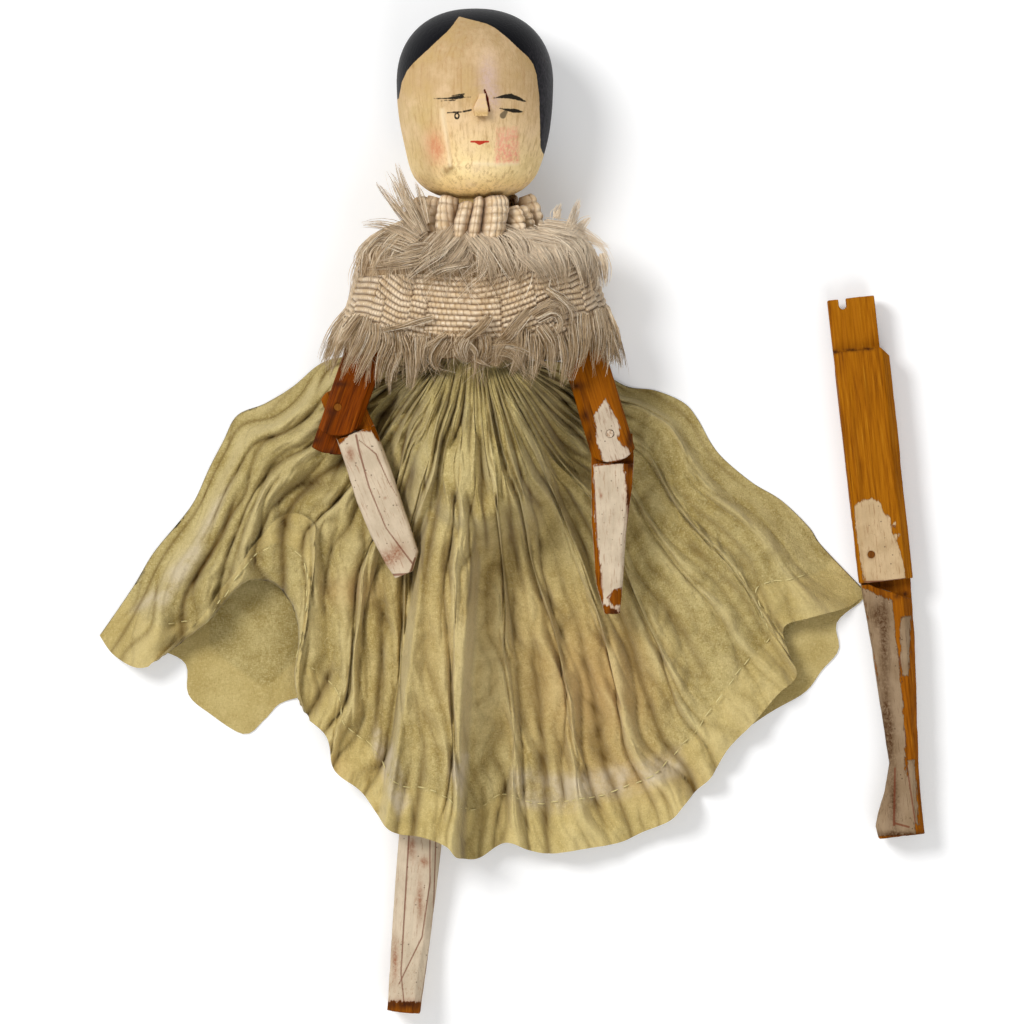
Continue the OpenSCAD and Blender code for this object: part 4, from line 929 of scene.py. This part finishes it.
def wound(angle, y, out, rise=0.0, narrow=0.0):
    """A place on the oval that the bodice makes: its angle round the doll, its height above the hips, and how
    far out it lies from the tape. The oval reaches up by rise at its two sides, and narrow draws it in to the
    neck."""
    c, sn = np.cos(angle), np.sin(angle)
    row = y + rise * c * c
    right, left = arm_edge(-1, row), arm_edge(1, row)
    a = ((left + right) / 2 + 3.0) * (1 - narrow) + out
    top = chest_deep + (neck_deep - chest_deep) * (y - low_row) / row_run
    px_, pz_ = np.sign(c) * np.abs(c) ** (2 / oval_power), np.sign(sn) * np.abs(sn) ** (2 / oval_power)
    x_ = axis_mm + (left - right) / 2 + a * px_
    z_ = (top / 2 + (top / 2 + out) * pz_) * (1 - narrow) + neck_axis * narrow
    return np.column_stack((x_, hip_y_mm + row, np.maximum(z_, 0.12 + 0.02 * (out + 1))))


def ring_grid(steps, rows):
    """A band closed round the doll: its mesh, and each point's angle and share of the width from the top."""
    bm = bmesh.new()
    column = [bm.verts.new((1, 0, 1 - f)) for f in np.linspace(0, 1, rows)]
    for pair in zip(column, column[1:]):
        bm.edges.new(pair)
    bmesh.ops.spin(bm, geom=bm.edges[:], cent=(0, 0, 0), axis=(0, 0, 1), angle=math.tau, steps=steps,
                   use_merge=True)
    bmesh.ops.recalc_face_normals(bm, faces=bm.faces)
    mesh = bpy.data.meshes.new("band")
    bm.to_mesh(mesh)
    bm.free()
    p = points_of(mesh)
    return mesh, np.arctan2(p[:, 1], p[:, 0]), 1 - p[:, 2]


# The tape: its length round the doll, its width, the blocks that it is pieced from, and its ribs and beads.
tape_long, tape_wide, block_wide, rib_pitch, bead_pitch, bead_wave = 182.0, 16.6, 11.5, 1.45, 0.9, 0.86
tape = Finish("ribbed_tape", 0.5)
at = tape.place()
worn = tape.noise(at, 0.3, 5, 0.65)
sheen = tape.noise(at, 1.2, 4, 0.6)
bead = tape.sum("ABSOLUTE", tape.sum("SINE", tape.sum("MULTIPLY", tape.value("around"), math.pi / bead_wave)))
tone = tape.mix(tape.step(worn, 0.35, 0.65), (226, 197, 156), (244, 221, 188))
tone = tape.mix(tape.step(sheen, 0.5, 0.75), tone, (250, 234, 210))
# Painted shade: darker between the beads, and in the grooves between the ribs.
tone = tape.mix(tape.step(bead, 0.6, 0.0, 0.0, 0.5), tone, (160, 116, 72))
tone = tape.mix(tape.value("groove"), tone, (112, 78, 40))
tape.shader.inputs["Sheen Weight"].default_value = 0.2
tape.done(tone, normal=tape.bump(tape.sum("ADD", tape.sum("MULTIPLY", bead, 1.5), sheen), 0.16))

mesh, angle, w = ring_grid(1100, 88)
around = angle / math.tau * tape_long
block_t = around / block_wide + 0.35 * np.floor(w * 2 + 0.3)
block = np.floor(block_t)
shift = (np.mod(block * 0.61, 1.0) - 0.5) * 2.4 + 0.35 * drift(around / 8, w * 2, 31)
tilt = (np.mod(block * 0.37, 1.0) - 0.5) * 0.5 * (np.mod(around / block_wide, 1) - 0.5) * block_wide
aslant = np.interp(np.cos(angle) * oval_half, [-31, -15, 0, 14, 27, 31], [7, 1, 0, 1.2, 4.4, 6.5])
rib_t = (w * tape_wide + shift + tilt + aslant) / rib_pitch
bead_t = around / bead_pitch + 0.5 * np.floor(rib_t) + 0.12 * np.mod(rib_t, 1)
note(mesh, "around", bead_t * bead_wave)
seam_t = np.abs(np.mod(block_t, 1) - 0.5) * 2
rib = np.abs(np.sin(np.pi * rib_t)) ** 0.9
bead = np.abs(np.sin(np.pi * bead_t)) ** 0.5
join = smooth01((seam_t - 0.93) / 0.05)
edge_roll = np.minimum(smooth01(w / 0.05), smooth01((1 - w) / 0.05))
bulge = 0.5 * rib + 0.2 * bead * rib - 0.25 * join + 0.5 * drift(around / 13, w * 2, 32) + 0.25 * edge_roll
chest_top = 51.2
height = chest_top - tape_wide * w + 1.4 * drift(around / 20, w * 0 + 0.5, 33) + 1.5 * np.sin(angle * 2 + 0.6)
p = wound(angle, height, bulge)
set_points(mesh, p * mm)
# Painted shade in the grooves between the ribs and, more faintly, at the joins between the blocks.
note(mesh, "groove", np.clip((1 - rib) ** 1.7 * 1.0 + join * 0.3, 0, 0.95))
chest_band = piece("chest_tape", mesh, tape.mat)
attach(chest_band, "torso")

# The ruche: the same tape, drawn up in flutes round the neck.
flute_count, ruche_top, ruche_wide = 19, 69.8, 10.4
mesh, angle, w = ring_grid(1008, 26)
turns = angle / math.tau * flute_count + 0.4 * drift(angle * 2.2 + 7, w * 1.5, 41)
flute = np.abs(np.sin(np.pi * turns)) ** 0.8
lean = 2.6 * drift(angle * 3.5 + 20, w * 0, 42)
flute_h = 3.6 + 1.2 * drift(np.floor(turns) * 1.7, w * 0, 43)
lip = np.sin(np.clip(w, 0, 1) * np.pi) ** 0.7
ribs = np.abs(np.sin((w + 0.1 * drift(np.floor(turns) * 3.1, w * 0, 45)) * 5.5 * np.pi)) ** 0.7
radius = 10.0 + 1.6 * w + flute * flute_h * (0.55 + 0.45 * lip) + 0.55 * ribs * flute
height = ruche_top - ruche_wide * w + (1.6 * drift(np.floor(turns) * 2.3 + 5, w * 0, 44)) * (1 - w) \
    - 1.0 * (1 - flute) * (1 - w)
spot = angle + lean * 0.05 * (w - 0.5)
p = np.column_stack((radius * np.cos(spot) * 1.14, height, radius * np.sin(spot)))
p = (np.array(lying) @ np.column_stack((p * mm, np.ones(len(p)))).T).T[:, :3]
p[:, 2] = np.maximum(p[:, 2], 0.6 * mm)
set_points(mesh, p)
# Painted shade in the hollows between the flutes and between their ribs.
note(mesh, "groove", np.clip((1 - flute) ** 1.4 + 0.75 * (1 - ribs) ** 1.5 * flute, 0, 0.95))
note(mesh, "around", angle * 11)
ruche = piece("neck_ruche", mesh, tape.mat)
mod = ruche.modifiers.new("thick", "SOLIDIFY")
mod.thickness, mod.offset = 0.35 * mm, 0
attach(ruche, "torso")
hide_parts("neck_ruche")

silk = Finish("silk_fringe", 0.45)
each = silk.add("ShaderNodeNewGeometry", out=8)
at = silk.place()
clump = silk.noise(at, 0.25, 4, 0.6)
tone = silk.ramp(each, (0.0, (98, 72, 42)), (0.3, (170, 142, 104)), (0.7, (216, 190, 154)),
                 (1.0, (255, 244, 222)))
tone = silk.mix(silk.step(clump, 0.45, 0.62, 0.0, 0.4), tone, (214, 190, 156))
tone = silk.mix(silk.step(clump, 0.42, 0.3, 0.0, 0.4), tone, (128, 98, 62))
# A painted highlight on the strands near the neck, stronger toward the doll's left side.
upper = silk.step(silk.add("ShaderNodeSeparateXYZ", {"Vector": at}, out=1), 56, 66)
highlight_side = silk.step(silk.add("ShaderNodeSeparateXYZ", {"Vector": at}), -30, 12, 0.1, 0.6)
tone = silk.mix(silk.sum("MULTIPLY", upper, highlight_side), tone, (255, 238, 212))
lower = silk.step(silk.add("ShaderNodeSeparateXYZ", {"Vector": at}, out=1), 48, 40, 0.0, 0.25)
tone = silk.mix(lower, tone, (146, 112, 58))
silk.shader.inputs["Sheen Weight"].default_value = 0.15
silk.done(tone)
under_silk = Finish("silk_fringe_ground", 0.8)
at = under_silk.place((1, 0.25, 1))
under_silk.done(under_silk.ramp(under_silk.noise(at, 2.2, 5, 0.7), (0.3, (112, 84, 52)),
                                (0.52, (176, 148, 112)),
                                (0.72, (214, 190, 156))))


def lock(rng, guide, half, count, over):
    """The strands of one lock of the fringe: guide is its middle line and half its half width, in pixels."""
    f = np.linspace(0, 1, 7)
    middle = smooth_line(guide, 7)
    way = np.gradient(middle, axis=0)
    across = np.column_stack((-way[:, 1], way[:, 0])) / np.linalg.norm(way, axis=1)[:, None]
    full = half * np.interp(f, [0, 0.35, 0.8, 1], [0.8, 1.0, 0.6, 0.2])
    lines = []
    for _ in range(count):
        place, short = rng.normal(0, 0.5), rng.uniform(0.6, 1.0)
        at = np.array([np.interp(f * short, f, (middle + across * (full * place)[:, None])[:, k])
                       for k in (0, 1)]).T
        aside = rng.normal(0, 0.8, 2)
        at += aside + across * (0.9 * np.sin(f * rng.uniform(2, 6) + rng.uniform(0, 6)))[:, None]
        x, y = from_photo(at).T
        row = y - hip_y_mm
        right, left = arm_edge(-1, row), arm_edge(1, row)
        part = np.clip(np.abs((x - axis_mm - (left - right) / 2) / ((left + right) / 2 + 3.5)), 0, 0.985)
        top = chest_deep + 0.187 * (row - low_row)
        out = over + rng.uniform(0, 1.0) + (1.2 + rng.uniform(0, 1.3)) * np.sin(np.pi * (0.1 + 0.8 * f))
        z = top / 2 + (top / 2 + out) * (1 - part ** oval_power) ** (1 / oval_power)
        z += neck_taper * near_neck(row) * (neck_axis - z)
        thick = rng.uniform(0.045, 0.095) * np.interp(f, [0, 0.3, 1], [0.9, 1.0, 0.3])
        lines.append(np.column_stack((x * mm, y * mm, z * mm, thick * mm)))
    return lines


def fringe(name, count, top_y, root_out, long, rise, taper, seed, lift, ground_rows, locks):
    """Loose silk strands all round the doll over a thin ground of silk, with the locks on top in front. The
    strands hang from top_y in bunches, and taper draws them in where they come near the neck."""
    rng = np.random.default_rng(seed)
    steps, bunches = 7, 110
    bunch = rng.integers(0, bunches, count)
    centre = (np.arange(bunches) + rng.uniform(0, 1, bunches)) / bunches * math.tau
    offset = rng.normal(0, 1.3, count)
    root = top_y - np.abs(rng.normal(0, 1, count)) * root_out
    size = (long * rng.uniform(0.6, 1.1, bunches))[bunch] * rng.uniform(0.75, 1.05, count)
    heading = rng.normal(0, 0.35, bunches)[bunch]
    curl = rng.normal(0, 0.5, bunches)[bunch] + rng.normal(0, 0.15, count)
    up = lift * rng.uniform(0.2, 1.0, bunches)[bunch]
    place, row, places = centre[bunch], root.copy(), []
    for k in range(steps):
        f = k / (steps - 1)
        out = 0.6 + up * math.sin(math.pi * (0.1 + 0.8 * f)) + rng.uniform(0, 0.2, count)
        spot = place + offset * (1 - 0.85 * f ** 1.3) / oval_half
        out = np.where(np.sin(spot) > -0.15, out, np.minimum(out, 0.6))
        places.append(wound(spot, row, out, rise, taper * near_neck(row)))
        way = heading + curl * f + 0.45 * np.cos(spot)
        place = place - np.sin(way) * size / (steps - 1) / oval_half * -np.sign(np.sin(spot) + 0.001)
        row = row - np.cos(way) * size / (steps - 1)
    places = np.stack(places, axis=1)
    thinning = np.interp(np.arange(steps) / (steps - 1), [0, 0.3, 1], [0.9, 1, 0.25])
    thick = rng.uniform(0.05, 0.11, count)[:, None] * thinning
    lines = [np.column_stack((places[i] * mm, thick[i] * mm)) for i in range(count)]
    for half, guide in locks:
        lines += lock(rng, guide, half, int(24 + 4.2 * half), 0.9)
    obj = strands(name, lines, silk.mat)
    mesh, angle, w = ring_grid(300, 30)
    ragged = 1 + 0.12 * drift(angle * 9, angle * 0, seed + 6) + 0.1 * drift(angle * 31, angle * 0, seed + 7)
    y = ground_rows[0] - (ground_rows[0] - ground_rows[1]) * w * ragged
    bump_out = 0.3 + 0.5 * np.abs(drift(angle * 14, w * 3, seed + 8)) - 0.3 * w
    laid = wound(angle, y, bump_out, rise, taper * near_neck(y))
    if taper > 0:
        tuck = smooth01((0.3 - w) / 0.3)[:, None]
        neck = np.column_stack((axis_mm + 12.5 * np.cos(angle), hip_y_mm + y - 1.5,
                                neck_axis + 12.0 * np.sin(angle)))
        laid = laid * (1 - tuck) + neck * tuck
    set_points(mesh, laid * mm)
    ground = piece(name + "_ground", mesh, under_silk.mat)
    for o in (obj, ground):
        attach(o, "torso")
    return obj, ground


# Half width in pixels and the middle line of each lock that lies on top.
chest_locks = [
    (8, [(354, 313), (333, 340), (320, 370)]),
    (8, [(361, 317), (343, 343), (332, 374)]),
    (8, [(369, 319), (361, 340), (346, 370), (341, 382)]),
    (7, [(375, 326), (375, 343), (363, 366), (355, 386)]),
    (7, [(386, 328), (390, 343), (382, 362), (378, 390)]),
    (7, [(397, 334), (399, 351), (390, 373), (390, 396)]),
    (8, [(403, 338), (408, 355), (408, 390)]),
    (8, [(416, 338), (416, 364), (412, 392)]),
    (3, [(356, 332), (337, 343), (327, 360)]),
    (8, [(424, 338), (421, 358), (425, 376)]),
    (8, [(444, 340), (433, 360), (442, 375)]),
    (3, [(446, 336), (429, 347), (408, 361)]),
    (3, [(433, 319), (412, 325), (390, 331), (368, 334)]),
    (4, [(489, 321), (467, 340), (444, 354)]),
    (3, [(491, 319), (480, 332), (464, 343)]),
    (5, [(528, 312), (519, 322), (504, 340), (483, 346)]),
    (4, [(522, 325), (510, 343), (488, 348)]),
    (4, [(487, 348), (519, 347), (546, 366), (558, 376)]),
    (6, [(494, 350), (514, 355), (527, 378)]),
    (3, [(455, 350), (459, 356), (464, 364)]),
    (3, [(466, 344), (477, 355), (473, 382)]),
    (2, [(474, 358), (482, 364), (492, 368)]),
    (4, [(531, 316), (551, 304), (565, 313), (555, 341)]),
    (4, [(536, 320), (555, 312), (562, 326), (552, 341)]),
    (4, [(546, 291), (568, 306), (580, 320)]),
    (4, [(549, 293), (561, 302), (571, 315), (568, 334)]),
    (8, [(540, 328), (551, 345), (551, 365), (552, 382)]),
    (8, [(561, 336), (566, 360), (561, 389)]),
    (8, [(574, 324), (576, 351), (568, 386)]),
    (8, [(585, 315), (585, 345), (578, 369)]),
    (8, [(596, 312), (600, 340), (596, 365)]),
    (7, [(604, 308), (613, 340), (622, 371)]),
    (7, [(606, 318), (615, 343), (611, 364)]),
    (8, [(523, 332), (519, 360), (510, 378)]),
    (8, [(508, 338), (497, 355), (497, 370)]),
    (8, [(470, 336), (462, 350), (466, 366)]),
    (8, [(484, 338), (486, 352), (480, 368)]),
    (8, [(534, 336), (536, 356), (532, 384)])]
neck_locks = [
    (7, [(426, 234), (412, 205), (403, 185), (396, 162)]),
    (6, [(420, 236), (402, 215), (388, 198), (377, 184)]),
    (6, [(422, 232), (406, 206), (397, 188), (389, 172)]),
    (6, [(418, 245), (398, 232), (378, 226), (361, 226)]),
    (8, [(420, 255), (400, 246), (382, 242), (367, 244)]),
    (3, [(428, 225), (424, 208), (421, 196), (416, 184)]),
    (8, [(430, 250), (410, 254), (392, 260), (378, 262)]),
    (7, [(424, 262), (400, 266), (384, 268), (367, 270)]),
    (8, [(452, 228), (440, 245), (424, 258), (402, 268)]),
    (8, [(457, 238), (440, 255), (423, 266), (406, 282)]),
    (9, [(469, 240), (460, 256), (447, 270), (424, 284)]),
    (5, [(468, 264), (450, 268), (434, 274), (418, 288)]),
    (8, [(466, 234), (478, 249), (490, 268), (493, 292)]),
    (8, [(480, 232), (497, 246), (507, 265), (517, 286)]),
    (8, [(503, 232), (518, 240), (526, 257), (524, 284)]),
    (6, [(517, 253), (534, 268), (547, 291)]),
    (8, [(526, 255), (545, 268), (555, 289)]),
    (8, [(518, 236), (545, 240), (574, 250), (592, 266)]),
    (8, [(538, 230), (564, 234), (593, 242), (613, 249)]),
    (7, [(545, 226), (574, 231), (597, 243), (612, 264)]),
    (6, [(568, 236), (572, 219), (580, 198)]),
    (6, [(572, 238), (582, 225), (591, 219)]),
    (4, [(556, 220), (561, 205)]),
    (8, [(551, 244), (561, 263), (565, 291)]),
    (8, [(572, 248), (580, 266), (584, 291)]),
    (8, [(589, 252), (594, 268), (598, 285)]),
    (8, [(536, 247), (544, 263), (557, 286)]),
    (8, [(600, 256), (605, 270), (604, 290)]),
    (8, [(446, 240), (434, 262), (440, 284)]),
    (8, [(486, 240), (484, 262), (478, 286)]),
    (8, [(404, 236), (392, 246), (380, 262)])]
chest_fringe, chest_ground = fringe(
    "chest_fringe_strands", count=1300, top_y=36.6, root_out=1.4, long=13.0, rise=5.0, taper=0.0, seed=51,
    lift=1.2, ground_rows=(37.4, 29.5), locks=chest_locks)
neck_fringe, neck_ground = fringe(
    "neck_fringe_strands", count=2000, top_y=61.0, root_out=4.4, long=12.0, rise=4.0, taper=neck_taper,
    seed=61, lift=2.0, ground_rows=(62.0, 45.8), locks=neck_locks)
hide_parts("chest_band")
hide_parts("chest_fringe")
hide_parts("neck_fringe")
